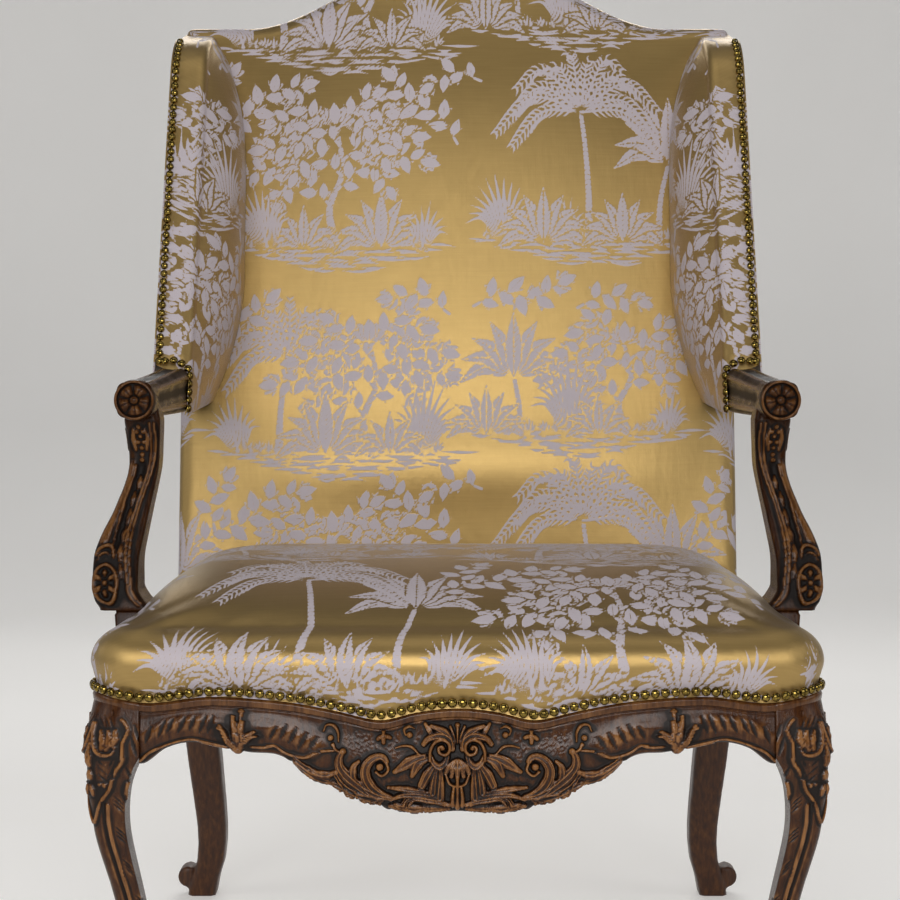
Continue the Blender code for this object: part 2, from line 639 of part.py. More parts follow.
def arm_rings(side, margin=0.0, start=ARM_SECTIONS[0][0]):
    """Sections of an arm from its scroll to the rear post, whose face it meets at the rake."""
    count = 14
    rings = []
    for k in range(count + 1):
        across, height, width, depth = arm_section(mix(start, arm_rear(), k / count))
        half_x, half_z = width / 2 + margin, depth / 2 + margin
        sides = (across - half_x, across + half_x, height - half_z, height + half_z)
        ring = []
        for x, z in rounded(*sides, [ARM_EDGE] * 4, 2):
            ring.append((side * x, mix(start, back_depth(z, BACK_FACE + GAP), k / count), z))
        rings.append(ring)
    return rings


def arm_tenon(side, margin):
    """Tenon of an arm, or with a margin its mortise, from the arm's rear face into the post."""
    across, height = arm_section(arm_rear())[:2]
    half_x = TENON_THICKNESS / 2 + margin
    half_z = TENON_THICKNESS + margin
    section = rounded(across - half_x, across + half_x, height - half_z, height + half_z, [TENON_EDGE] * 4, 2)
    start = BACK_FACE + (OVERRUN if margin else GAP)
    rings = []
    for forward in (start, BACK_FACE - TENON_LENGTH - margin):
        rings.append([(side * x, back_depth(z, forward), z) for x, z in section])
    return rings


def support_place(inset):
    return side_line(SUPPORT_SECTIONS[0][2]) - inset


def support_mortise(label, side):
    half_x, half_y = TENON_THICKNESS / 2 + SLOT, STUMP_DEPTH / 4 + SLOT
    x, y = side * support_place(STUMP_INSET), SUPPORT_SECTIONS[0][2]
    ranges = ((x - half_x, x + half_x), (y - half_y, y + half_y),
              (RAIL_TOP - TENON_LENGTH - SLOT, RAIL_TOP + OVERRUN))
    return add_cutter("support_mortise_" + label, box_mesh("support_mortise", as_given, ranges))


def support_rings(side, margin=0.0):
    """Sections of an arm support: plain stump on the rail, carved foot, swept stem."""
    middle = SUPPORT_SECTIONS[0][2]
    stations = []
    for height in (GAP - 2 * margin, SUPPORT_STUMP - margin):
        stations.append((height, STUMP_INSET, middle, STUMP_WIDTH, STUMP_DEPTH, STUMP_EDGE))
    first, last = SUPPORT_SECTIONS[0][0], SUPPORT_SECTIONS[-1][0]
    count = 12
    for k in range(count + 1):
        height = mix(first, last, k / count)
        shift = {0: -margin, count: margin}.get(k, 0.0)
        stations.append((height + shift, *curve_at(SUPPORT_SECTIONS, height), SUPPORT_EDGE))
    rings = []
    for height, inset, y, width, depth, edge in stations:
        x = support_place(inset)
        half_x, half_y = width / 2 + margin, depth / 2 + margin
        section = rounded(x - half_x, x + half_x, y - half_y, y + half_y, [edge] * 4, 2)
        rings.append([(side * px, py, RAIL_TOP + height) for px, py in section])
    return rings


def support_tenon(side, end, margin):
    """Tenon at the foot or the head of an arm support, as two rings."""
    half_x, half_y = TENON_THICKNESS / 2 + margin, STUMP_DEPTH / 4 + margin
    if end == "foot":
        inset, y, levels = STUMP_INSET, SUPPORT_SECTIONS[0][2], (-TENON_LENGTH, GAP)
    else:
        top, inset, y = SUPPORT_SECTIONS[-1][:3]
        half_y = TENON_THICKNESS + margin
        levels = (top + (GAP if margin else 0.0), top + TENON_LENGTH / 2 + margin)
    x = support_place(inset)
    section = rounded(x - half_x, x + half_x, y - half_y, y + half_y, [TENON_EDGE] * 4, 2)
    return [[(side * px, py, RAIL_TOP + level) for px, py in section] for level in levels]


def make_arm(label, side):
    rings = support_tenon(side, "foot", 0.0) + support_rings(side) + support_tenon(side, "head", 0.0)
    add_part("arm_support_" + label, loft_mesh("arm_support", rings), WALNUT)

    arm = add_part("arm_" + label, loft_mesh("arm", arm_rings(side) + arm_tenon(side, 0.0)), WALNUT)
    front = ARM_SECTIONS[0][0]
    across, height = arm_section(front)[:2]
    centre = Vector((side * across, front + ARM_SCROLL_LENGTH / 2 - ARM_SCROLL_PROUD, height))
    scroll = scroll_mesh("arm_scroll", ARM_SCROLL_RADIUS, ARM_SCROLL_LENGTH, centre, Vector((0, 1, 0)))
    cut(arm, add_cutter("arm_scroll_" + label, scroll), 'UNION')
    trim = loft_mesh("support_head", support_rings(side, GAP)[2:] + support_tenon(side, "head", SLOT))
    cut(arm, add_cutter("support_head_" + label, trim))
    cut(arm, add_cutter("wing_post_mortise_" + label, loft_mesh("wing_mortise", wing_tenon(side, SLOT))))


def wing_front(height):
    """Depth of a wing's front edge at a height: straight and leaning, rounded at the top."""
    share = (height - WING_FOOT_FRONT) / (WING_TOP_FRONT - WING_FOOT_FRONT)
    over = max(0.0, height - (WING_TOP_FRONT - WING_CORNER_RADIUS))
    over = min(over, WING_CORNER_RADIUS)
    turn = WING_CORNER_RADIUS - math.sqrt(WING_CORNER_RADIUS ** 2 - over ** 2)
    return mix(WING_FRONT_LOW, WING_FRONT_HIGH, share) + turn


def back_pad_depth(across, up):
    """How far the padded back stands before the back's middle plane."""
    a = min(1.0, abs(across) / BACK_HALF)
    top = crest_height(across) + PAD_OVER_CREST
    b = max(-1.0, min(1.0, 2 * (up - BACK_PAD_FOOT) / (top - BACK_PAD_FOOT) - 1))
    over = max(0.0, abs(across) - (BACK_HALF - BACK_PAD_ROLL))
    drop = BACK_PAD_ROLL - math.sqrt(BACK_PAD_ROLL ** 2 - min(over, BACK_PAD_ROLL) ** 2)
    return BACK_PAD_EDGE - drop + BACK_PAD_CROWN * (1 - a ** 2.2) * (1 - b ** 4)


def wing_point(side, a, b, c, base=0.0):
    """Point of a wing's padding: a from back to front, b from foot to top, c up its edge wall."""
    angle = max(0.0, 1 - (c - WING_WALL) / (1 - WING_WALL)) * math.pi / 2 if c > WING_WALL else math.pi / 2
    draw = WING_ROLL * (1 - math.sin(angle))
    height = mix(mix(WING_FOOT_REAR, WING_FOOT_FRONT, a), mix(WING_TOP_REAR, WING_TOP_FRONT, a) - draw, b)
    along = 1 - max(0.0, (a - WING_CROWN_FRONT) / (1 - WING_CROWN_FRONT)) ** 2.2
    if b < WING_CROWN_LOW:
        rise = 1 - (1 - b / WING_CROWN_LOW) ** 2
    else:
        rise = 1 - max(0.0, (b - WING_CROWN_HIGH) / (1 - WING_CROWN_HIGH)) ** 2.4
    if c == 1:
        thickness = WING_FACE + WING_BULGE * along * rise
    elif base > 0:
        thickness = mix(base, WING_FACE, c)
    elif c > WING_WALL:
        thickness = WING_FACE - WING_ROLL * (1 - math.cos(angle))
    else:
        thickness = (WING_FACE - WING_ROLL) * c / WING_WALL
    across = WING_OUTER - thickness
    slope_up = (height - RAIL_TOP) / math.cos(RECLINE)
    meeting = min(across, BACK_HALF - BACK_PAD_ROLL / 2)
    rear = back_depth(height, back_pad_depth(meeting, slope_up) + WING_BACK_CLEARANCE)
    return Vector((side * across, mix(rear, wing_front(height) + draw, a), height))


def wing_arm_share():
    """Share of a wing's height at which it clears the arm's top."""
    return (ARM_TOP + WING_ARM_CLEARANCE - WING_FOOT_FRONT) / (WING_TOP_FRONT - WING_FOOT_FRONT)


def wing_post_foot():
    """Middle of the wing post's foot, on the arm's top."""
    top = ARM_TOP + 2 * GAP
    return WING_STICK_LINE, wing_front(top) + CLOTH + WING_EASE + WING_STICK / 2, top


def wing_tenon(side, margin):
    """Tenon at the foot of a wing post, as two level rings, or its mortise in the arm."""
    x, y, z = wing_post_foot()
    half = TENON_THICKNESS / 2 + margin
    section = rounded(x - half, x + half, y - half, y + half, [TENON_EDGE] * 4, 2)
    levels = (z - TENON_LENGTH / 2 - margin, z + (OVERRUN if margin else 0.0))
    return [[(side * px, py, level) for px, py in section] for level in levels]


def make_wing_frame(label, side):
    x, foot_y, foot_z = wing_post_foot()
    half = WING_STICK / 2
    head_z = WING_TOP_FRONT - WING_STICK - WING_HEAD
    head_y = wing_front(head_z) + CLOTH + WING_EASE + half
    rings = wing_tenon(side, 0.0)
    for y, z in ((foot_y, foot_z), (head_y, head_z)):
        section = rounded(x - half, x + half, y - half, y + half, [STICK_EDGE] * 4, 2)
        rings.append([(side * px, py, z) for px, py in section])
    add_part("wing_post_" + label, loft_mesh("wing_post", rings), BEECH)

    add_part("wing_top_rail_" + label, loft_mesh("wing_top_rail", wing_rail_rings(side)), BEECH)


def wing_rail_rings(side, margin=0.0):
    """Top rail of a wing, from over its post to the crest rail's face."""
    x = wing_post_foot()[0]
    half = WING_STICK / 2 + margin
    low = WING_TOP_FRONT - WING_STICK - WING_HEAD + GAP
    front = wing_front(WING_TOP_FRONT - WING_HEAD) + CLOTH + WING_EASE
    rise = WING_TOP_REAR - WING_TOP_FRONT
    rings = []
    for k in range(5):
        share = k / 4
        z = low + WING_STICK / 2 + rise * share
        ring = []
        for px, pz in rounded(x - half, x + half, z - half, z + half, [STICK_EDGE] * 4, 2):
            stop = back_depth(pz, BACK_FRAME_THICKNESS / 2 + GAP)
            ring.append((side * px, mix(front, stop, share), pz))
        rings.append(ring)
    return rings


def cage(a_values, b_values, c_values, place, outward, open_sides=(), short_sides=()):
    """Padded form on a grid: a crowned face and a wall round it, put in place point by point.

    open_sides names the walls left out, short_sides those that lack the lowest level.
    """
    bm = bmesh.new()
    bmesh.ops.create_grid(bm, x_segments=len(a_values) - 1, y_segments=len(b_values) - 1, size=1.0)
    for vert in bm.verts:
        i = round((vert.co.x + 1) / 2 * (len(a_values) - 1))
        j = round((vert.co.y + 1) / 2 * (len(b_values) - 1))
        vert.co = (a_values[i], b_values[j], c_values[0])
    sides = {"a0": (0, a_values[0]), "a1": (0, a_values[-1]), "b0": (1, b_values[0]), "b1": (1, b_values[-1])}

    def lies_on(edge, names):
        return any(all(abs(v.co[sides[n][0]] - sides[n][1]) < 1e-6 for v in edge.verts) for n in names)

    edges = [edge for edge in bm.edges if edge.is_boundary and not lies_on(edge, open_sides)]
    for c in c_values[1:]:
        if c == c_values[-1]:
            edges = [edge for edge in edges if not lies_on(edge, short_sides)]
        made = bmesh.ops.extrude_edge_only(bm, edges=edges)["geom"]
        for item in made:
            if isinstance(item, bmesh.types.BMVert):
                item.co.z = c
        fresh = {item for item in made if isinstance(item, bmesh.types.BMVert)}
        edges = [edge for edge in bm.edges if all(v in fresh for v in edge.verts)]
    for vert in bm.verts:
        vert.co = place(*vert.co)
    face_outwards(bm)
    bm.faces.ensure_lookup_table()
    crown = bm.faces[len(a_values) // 2 + (len(b_values) // 2) * (len(a_values) - 1)]
    if crown.normal.dot(outward) < 0:
        bmesh.ops.reverse_faces(bm, faces=bm.faces)
    bmesh.ops.triangulate(bm, faces=bm.faces)
    return bm


def stuffing_mesh(name, bm, settle):
    """Stuffing under a cover's form: its surface moved in, its open rim settled on the base."""
    inset = CLOTH + 2 * GAP
    bm.normal_update()
    moves = [(vert, vert.normal * inset) for vert in bm.verts]
    for vert, move in moves:
        vert.co -= move
    rim = [edge for edge in bm.edges if edge.is_boundary]
    made = bmesh.ops.extrude_edge_only(bm, edges=rim)["geom"]
    fresh = {item for item in made if isinstance(item, bmesh.types.BMVert)}
    bmesh.ops.contextual_create(bm, geom=[e for e in bm.edges if all(v in fresh for v in e.verts)])
    for vert in fresh:
        vert.co = settle(vert.co)
    face_outwards(bm)
    return finish_mesh(bm, name)


def thicken(part):
    """Cloth thickness, inwards from the outer surface."""
    solid = part.modifiers.new("cloth", 'SOLIDIFY')
    solid.thickness = CLOTH
    solid.offset = -1.0


def round_corner(x, y, half_x, half_y, radius):
    """Draw the corner of a rectangle centred on zero in to an arc."""
    over_x = (abs(x) - (half_x - radius)) / radius
    over_y = (abs(y) - (half_y - radius)) / radius
    if over_x <= 0 or over_y <= 0:
        return x, y
    arc_x = over_x * math.sqrt(1 - over_y ** 2 / 2)
    arc_y = over_y * math.sqrt(1 - over_x ** 2 / 2)
    return (math.copysign(half_x - radius + radius * arc_x, x),
            math.copysign(half_y - radius + radius * arc_y, y))


def seat_point(a, b, c):
    """Point of the seat's upholstery: a across, b from front to back, c up its wall."""
    angle = min(1.0, (1 - c) / (1 - SEAT_WALL)) * math.pi / 2
    lap = LIP_STEP - GAP - CLOTH
    below = max(0.0, 1 - c / SEAT_WALL) if b < 1 else 0.0
    draw = SEAT_ROLL * (1 - math.sin(angle)) + mix(-SEAT_BULGE, lap, below)
    half_x = SEAT_HALF - draw
    half_y = (SEAT_PAD_DEPTH + SEAT_BULGE) / 2 - draw
    middle = (SEAT_PAD_DEPTH - SEAT_BULGE) / 2
    x, y = a * half_x, b * half_y
    if b < 0:
        x, y = round_corner(x, y, half_x, half_y, max(ROLL_RADIUS_LEAST, CORNER_RADIUS - draw))
    y += middle
    if c == 1:
        crest = max(0.0, min(1.0, (y - middle) / (SEAT_PAD_FALL - middle)))
        dome = (1 - abs(a) ** 7) * (1 - crest ** 3.5 if b > 0 else 1 - abs(b) ** 3)
        z = SEAT_EDGE + SEAT_CROWN * dome
    elif c > SEAT_WALL:
        z = SEAT_EDGE - SEAT_ROLL * (1 - math.cos(angle))
    else:
        z = mix(seat_edge_low(b, x, y), SEAT_EDGE - SEAT_ROLL, c / SEAT_WALL)
    return Vector((*plan(x, y), z))


def seat_edge_low(b, x, y):
    """Lower edge of the seat cover: on the lip at the front and sides, on the rail at the rear."""
    return RAIL_TOP + GAP if b >= 1 else lip_height(x, y) + GAP


def strap_net(name, across_straps, along_straps, across_end, along_ends, place, finish):
    """Webbing as one net: crossing straps, each given by its middle line."""
    half = STRAP_WIDTH / 2
    x_lines = sorted([c + s * half for c in along_straps for s in (-1, 1)] + [-across_end, across_end])
    y_lines = sorted([c + s * half for c in across_straps for s in (-1, 1)] + list(along_ends))
    bm = bmesh.new()
    bmesh.ops.create_grid(bm, x_segments=len(x_lines) - 1, y_segments=len(y_lines) - 1, size=1.0)
    for vert in bm.verts:
        i = round((vert.co.x + 1) / 2 * (len(x_lines) - 1))
        j = round((vert.co.y + 1) / 2 * (len(y_lines) - 1))
        vert.co = (x_lines[i], y_lines[j], 0.0)
    bare = []
    for face in bm.faces:
        middle = face.calc_center_median()
        on_along = any(abs(middle.x - c) < half for c in along_straps)
        on_across = any(abs(middle.y - c) < half for c in across_straps)
        if not (on_along or on_across):
            bare.append(face)
    bmesh.ops.delete(bm, geom=bare, context='FACES')
    for vert in bm.verts:
        vert.co = place(vert.co.x, vert.co.y)
    part = add_part(name, finish_mesh(bm, name), finish)
    solid = part.modifiers.new("strap", 'SOLIDIFY')
    solid.thickness = STRAP_THICKNESS
    solid.offset = 0.0


def make_seat():
    strap_net("seat_webbing", SEAT_STRAPS_ACROSS, SEAT_STRAPS_ALONG, SEAT_HALF - WEB_SIDE_LAP,
              (WEB_LAP, WEB_REAR), lambda x, y: on_plan(x, y, SEAT_WEB_LEVEL), JUTE)

    edge = SEAT_HALF - WEB_LAP
    corner = edge - BASE_CORNER
    outline = [plan(x, WEB_LAP) for x in spread(10, -corner, corner)]
    outline += [plan(edge, WEB_LAP + BASE_CORNER), plan(edge, WEB_REAR)]
    outline += [plan(-edge, WEB_REAR), plan(-edge, WEB_LAP + BASE_CORNER)]
    middle = SEAT_CLOTH_LEVEL + BASE_CLOTH / 2
    mesh = flat_outline("seat_base_cloth", outline, BASE_CLOTH, lambda x, y, z: (x, y, z + middle))
    base = add_part("seat_base_cloth", mesh, HESSIAN)

    a_values, b_values = spread(16, crowd=0.75), spread(9, crowd=0.75)
    walls = (1.0, 0.82, 0.63, SEAT_WALL, 0.2, 0.0)
    upwards = Vector((0, 0, 1))
    form = cage(a_values, b_values, walls[:4], seat_point, upwards)
    share = 1 - (SEAT_BULGE + LIP_STEP) / SEAT_HALF

    def on_floor(point):
        return point.x * share, mix(SEAT_DEPTH / 2, point.y, share), SEAT_FLOOR

    mesh = stuffing_mesh("seat_stuffing", form, on_floor)
    stuffing = add_part("seat_stuffing", mesh, HORSEHAIR)
    form = cage(a_values, b_values, walls, seat_point, upwards)
    cover = add_part("seat_cover", finish_mesh(form, "seat_cover"), BROCADE)
    thicken(cover)

    for label, side in SIDES:
        notch = add_cutter("support_notch_" + label, loft_mesh("support_notch", support_rings(side, NOTCH)))
        ranges = ((side * (POST_INNER - NOTCH), side * (SEAT_HALF + SEAT_ROLL)),
                  (SEAT_DEPTH - NOTCH, SEAT_DEPTH + 2 * POST_DEPTH),
                  (RAIL_TOP - SEAT_ROLL, SEAT_EDGE + SEAT_CROWN))
        corner = add_cutter("post_notch_" + label, box_mesh("post_notch", as_given, ranges))
        for part in (base, stuffing, cover):
            cut(part, notch)
            cut(part, corner)


def back_pad_point(a, b, c):
    """Point of the back's upholstery: a across, b up the slope, c round its edge."""
    angle = min(1.0, (1 - c) / (1 - BACK_WALL)) * math.pi / 2
    draw = BACK_PAD_ROLL * (1 - math.sin(angle))
    half_x = BACK_HALF - draw
    x, share = a * half_x, b
    if b > 0:
        radius = max(ROLL_RADIUS_LEAST, BACK_CORNER_RADIUS - draw)
        x, share = round_corner(x, b * half_x, half_x, half_x, radius)
        share = share / half_x
    up = mix(BACK_PAD_FOOT + draw, crest_height(x) + PAD_OVER_CREST - draw, (share + 1) / 2)
    if c == 1:
        forward = back_pad_depth(x, up)
    elif c > BACK_WALL:
        forward = BACK_PAD_EDGE - BACK_PAD_ROLL * (1 - math.cos(angle))
    else:
        forward = mix(-(BACK_FACE + GAP), BACK_PAD_EDGE - BACK_PAD_ROLL, c / BACK_WALL)
    return back_point(x, forward, up)


def make_back():
    face = BACK_FACE + GAP + STRAP_THICKNESS / 2
    ends = (LOWER_RAIL_FOOT + WEB_LAP, CREST_FOOT + TENON_LENGTH)
    strap_net("back_webbing", BACK_STRAPS_ACROSS, BACK_STRAPS_UP, POST_CENTRE, ends,
              lambda x, w: back_point(x, face, w), JUTE)
    face += STRAP_THICKNESS / 2 + GAP + BASE_CLOTH / 2
    half = POST_OUTER - WEB_LAP
    foot = LOWER_RAIL_FOOT + WEB_LAP / 2
    outline = [(-half, foot), (half, foot)]
    outline += [(x, crest_height(x) - WEB_LAP) for x in spread(20, half, -half)]
    mesh = flat_outline("back_base_cloth", outline, BASE_CLOTH, lambda x, w, n: back_point(x, face + n, w))
    base = add_part("back_base_cloth", mesh, HESSIAN)

    floor = face + BASE_CLOTH / 2 + GAP
    forwards = back_point(0, 1, 0) - back_point(0, 0, 0)
    a_values = spread(18, crowd=0.6)
    b_values = spread(9, crowd=0.7)[:-1] + [0.96, 1.0]
    walls = (1.0, 0.8, 0.6, BACK_WALL, 0.0)

    def on_base(point):
        return point - forwards * (forwards.dot(point - back_point(0, 0, 0)) - floor)

    form = cage(a_values, b_values, walls[:3], back_pad_point, forwards)
    mesh = stuffing_mesh("back_stuffing", form, on_base)
    stuffing = add_part("back_stuffing", mesh, HORSEHAIR)
    form = cage(a_values, b_values, walls, back_pad_point, forwards, short_sides=("b0",))
    inside = add_part("inside_back_cover", finish_mesh(form, "inside_back_cover"), BROCADE)
    thicken(inside)
    notch_start = arm_rear() - 2 * BACK_PAD_EDGE - BACK_PAD_CROWN
    for label, side in SIDES:
        mesh = loft_mesh("arm_notch", arm_rings(side, NOTCH, notch_start))
        arm = add_cutter("arm_notch_" + label, mesh)
        mesh = loft_mesh("wing_rail_notch", wing_rail_rings(side, NOTCH))
        rail = add_cutter("wing_rail_notch_" + label, mesh)
        for part in (base, stuffing, inside):
            cut(part, arm)
            cut(part, rail)

    rear = -(BACK_FACE + 2 * GAP + CLOTH / 2)
    outline = [(-BACK_HALF, LOWER_RAIL_FOOT), (BACK_HALF, LOWER_RAIL_FOOT)]
    outline += [(x, crest_height(x) + PAD_OVER_CREST) for x in spread(32, BACK_HALF, -BACK_HALF)]
    mesh = flat_outline("outside_back_cover", outline, CLOTH, lambda x, w, n: back_point(x, rear + n, w))
    add_part("outside_back_cover", mesh, BROCADE)


def make_wing(label, side):
    make_wing_frame(label, side)
    inwards = Vector((-side, 0, 0))
    clear = wing_arm_share()
    arm_across, _, arm_width, _ = arm_section(ARM_WING_LINE)
    inner_face = WING_OUTER - (arm_across - arm_width / 2 - NOTCH)

    def cover_point(a, b, c):
        return wing_point(side, a, b, c, base=inner_face if b < clear + 0.002 else 0.0)

    a_values = (0.0, 0.17, 0.34, 0.5, 0.65, 0.78, 0.88, 0.95, 1.0)
    b_values = (0.0, 0.05, clear, clear + 0.004, 0.2, 0.3, 0.42, 0.55, 0.68, 0.8, 0.9, 0.96, 0.985, 1.0)
    form = cage(a_values, b_values, (1.0, 0.8, 0.6, 0.4, 0.0), cover_point, inwards, ("a0", "b0"))
    cover = add_part("wing_inside_cover_" + label, finish_mesh(form, "wing_inside_cover"), BROCADE)
    thicken(cover)

    backing = side * (WING_OUTER - inner_face)
    form = cage(a_values[:7], b_values[3:11], (1.0,), cover_point, inwards)
    mesh = stuffing_mesh("wing_stuffing", form, lambda p: (backing, p.y, p.z))
    add_part("wing_stuffing_" + label, mesh, HORSEHAIR)

    plate = WING_OUTER + GAP + CLOTH / 2
    low = ARM_TOP - WING_COVER_LAP
    rear = -(BACK_FACE - POST_EDGE)
    bend = WING_TOP_FRONT - WING_CORNER_RADIUS
    points = [(wing_front(low), low)]
    points += [(wing_front(z), z) for z in spread(6, bend, WING_TOP_FRONT)]
    points += [(back_depth(z, rear), z) for z in (WING_TOP_REAR, low)]
    name = "wing_outside_cover_" + label
    mesh = flat_outline(name, points, CLOTH, lambda y, z, x: (side * plate + x, y, z))
    add_part(name, mesh, BROCADE)


for stale in list(bpy.data.objects):
    bpy.data.objects.remove(stale)
parts = bpy.data.collections.new("wing_armchair")
cutters = bpy.data.collections.new("cutters")
for group in (parts, cutters):
    bpy.context.scene.collection.children.link(group)
chair = bpy.data.objects.new("chair_frame", None)
parts.objects.link(chair)

make_front_rail()
for side_label, side_sign in SIDES:
    make_front_leg(side_label, side_sign)
    make_side_rail(side_label, side_sign)
    make_rear_post(side_label, side_sign)
    make_arm(side_label, side_sign)
make_back_frame()
make_corner_blocks()
make_seat()
make_back()
for side_label, side_sign in SIDES:
    make_wing(side_label, side_sign)

# The footprint is centred on the origin from the finished pieces' own extent
bpy.context.view_layer.update()
view = bpy.context.evaluated_depsgraph_get()
depths = []
for piece in parts.objects:
    if piece.type == 'MESH':
        evaluated_piece = piece.evaluated_get(view)
        depths += [vert.co.y for vert in evaluated_piece.data.vertices]
chair.location.y = -(min(depths) + max(depths)) / 2
bpy.context.view_layer.update()
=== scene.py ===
# Looks of the wing armchair: carved walnut, gold satin with woven sprays, brass nails.
import math

import bmesh
import bpy
import numpy as np
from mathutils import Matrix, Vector
from mathutils.kdtree import KDTree


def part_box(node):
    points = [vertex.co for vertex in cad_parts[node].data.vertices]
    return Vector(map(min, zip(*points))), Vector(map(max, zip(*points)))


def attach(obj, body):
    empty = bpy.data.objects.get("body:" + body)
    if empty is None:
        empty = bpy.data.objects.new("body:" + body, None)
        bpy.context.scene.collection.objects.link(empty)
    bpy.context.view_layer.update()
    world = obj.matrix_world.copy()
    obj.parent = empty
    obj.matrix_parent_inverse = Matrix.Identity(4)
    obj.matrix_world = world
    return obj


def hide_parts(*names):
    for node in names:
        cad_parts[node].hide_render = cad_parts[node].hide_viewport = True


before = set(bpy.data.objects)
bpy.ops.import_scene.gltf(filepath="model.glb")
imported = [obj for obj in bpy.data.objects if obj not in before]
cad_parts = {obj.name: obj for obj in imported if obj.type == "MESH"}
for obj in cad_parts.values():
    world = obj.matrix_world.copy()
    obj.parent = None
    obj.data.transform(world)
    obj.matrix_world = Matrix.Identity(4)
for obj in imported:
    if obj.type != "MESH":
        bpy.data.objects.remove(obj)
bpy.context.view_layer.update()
print("frame:", len(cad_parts), "nodes")

# The seat plan that the wood and the cloth follow, in metres, as in the solids
plan = dict(frontWidth=0.733, rearWidth=0.696, depth=0.572, frontBow=0.026, bowReach=0.2,
            cornerRadius=0.040, railTop=0.385, stile=0.052, lipStep=0.004, sideLip=0.0205)
seatHalf = plan["frontWidth"] / 2
railTop = plan["railTop"]
clothGap = 0.0003
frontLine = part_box("front_rail")[0].y + 0.003     # the face of the front rail at its middle
mm = 0.001
bothSides = (("Left", -1), ("Right", 1))

# Small tools

def linear(hexColour):
    channels = [int(hexColour[k:k + 2], 16) / 255 for k in (1, 3, 5)]
    return [c / 12.92 if c <= 0.04045 else ((c + 0.055) / 1.055) ** 2.4 for c in channels] + [1.0]

def join(tree, node, **links):
    # links or sets a node's inputs, by name (underscores stand for spaces) or by number
    for key, value in links.items():
        socket = node.inputs[int(key[1:]) if key[0] == "i" and key[1:].isdigit() else key.replace("_", " ")]
        if isinstance(value, bpy.types.NodeSocket):
            tree.links.new(value, socket)
        else:
            socket.default_value = value

def put(tree, kind, settings=None, **links):
    # adds a node and gives one of its outputs: settings are its properties, a ramp's stops and the output wanted
    node = tree.nodes.new(kind if "Node" in kind else "ShaderNode" + kind)
    settings = {"out": 0, "stops": (), **(settings or {})}
    out, stops = settings.pop("out"), settings.pop("stops")
    for key, value in settings.items():
        setattr(node, key, value)
    for k, (at, colour) in enumerate(stops):
        element = node.color_ramp.elements[k] if k < 2 else node.color_ramp.elements.new(at)
        element.position = at
        element.color = linear(colour) if isinstance(colour, str) else (colour, colour, colour, 1.0)
    join(tree, node, **links)
    return node.outputs if out == "all" else node.outputs[out]

def newFinish(name):
    material = bpy.data.materials.new(name)
    material.use_nodes = True
    tree = material.node_tree
    return material, tree, tree.nodes["Principled BSDF"]

def mix(start, end, share):
    return start + (end - start) * share

def smoothCurve(points, at):
    # smooth curve through (place, value, ...) points, level at its peaks
    p = np.array(points, float)
    xs, at = p[:, 0], np.asarray(at, float)
    i = np.clip(np.searchsorted(xs, at, side="right") - 1, 0, len(xs) - 2)
    before, after = np.maximum(i - 1, 0), np.minimum(i + 2, len(xs) - 1)
    span = xs[i + 1] - xs[i]
    t = (at - xs[i]) / span
    found = []
    for column in p.T[1:]:
        v0, v1, v2, v3 = column[before], column[i], column[i + 1], column[after]
        slopeIn = np.where((v1 - v0) * (v2 - v1) <= 0, 0, (v2 - v0) / (xs[i + 1] - xs[before]) * span)
        slopeOut = np.where((v2 - v1) * (v3 - v2) <= 0, 0, (v3 - v1) / (xs[after] - xs[i]) * span)
        found.append((2 * t ** 3 - 3 * t ** 2 + 1) * v1 + (t ** 3 - 2 * t ** 2 + t) * slopeIn
                     + (3 * t ** 2 - 2 * t ** 3) * v2 + (t ** 3 - t ** 2) * slopeOut)
    return found if len(found) > 1 else found[0]

def planPoint(across, back):
    taper = 1 - (1 - plan["rearWidth"] / plan["frontWidth"]) * back / plan["depth"]
    bow = plan["frontBow"] * (across / seatHalf) ** 2 * np.clip(1 - back / plan["bowReach"], 0, None)
    return across * taper, frontLine + back + bow

def sideLine(back):
    return seatHalf * (1 - (1 - plan["rearWidth"] / plan["frontWidth"]) * back / plan["depth"])

def gridFaces(rows, columns, wrap=False):
    index = np.arange(rows * columns).reshape(rows, columns)
    if wrap:
        index = np.concatenate([index, index[:, :1]], axis=1)
    return np.stack([index[:-1, :-1], index[:-1, 1:], index[1:, 1:], index[1:, :-1]], axis=-1).reshape(-1, 4)

def linked(name, data):
    holder = bpy.data.objects.new(name, data)
    bpy.context.scene.collection.objects.link(holder)
    return holder

def newPiece(name, points, faces, material, smooth=True):
    mesh = bpy.data.meshes.new(name)
    mesh.from_pydata(np.asarray(points, float).reshape(-1, 3).tolist(), [], [list(map(int, f)) for f in faces])
    mesh.materials.append(material)
    if smooth:
        mesh.shade_smooth()
    mesh.update()
    return linked(name, mesh)

def settled(piece):
    # the piece's modifiers become part of a plain mesh
    plain = bpy.data.meshes.new_from_object(piece.evaluated_get(bpy.context.evaluated_depsgraph_get()))
    piece.modifiers.clear()
    piece.data = plain
    return plain

def facesOutward(mesh):
    bm = bmesh.new()
    bm.from_mesh(mesh)
    bmesh.ops.recalc_face_normals(bm, faces=bm.faces)
    bm.to_mesh(mesh)
    bm.free()

def clothMap(mesh, flat):
    # the flat place of each point of the cloth, as the mesh's own map
    corners = np.empty(len(mesh.loops), np.int32)
    mesh.loops.foreach_get("vertex_index", corners)
    mesh.uv_layers.new(name="cloth").uv.foreach_set("vector", flat[corners].astype(np.float32).ravel())

def setVectors(mesh, name, vectors):
    attribute = mesh.attributes.new(name, "FLOAT_VECTOR", "POINT")
    attribute.data.foreach_set("vector", vectors.astype(np.float32).ravel())

def getVectors(source, count, name="vector"):
    values = np.empty(count * 3)
    source.foreach_get(name, values)
    return values.reshape(-1, 3)

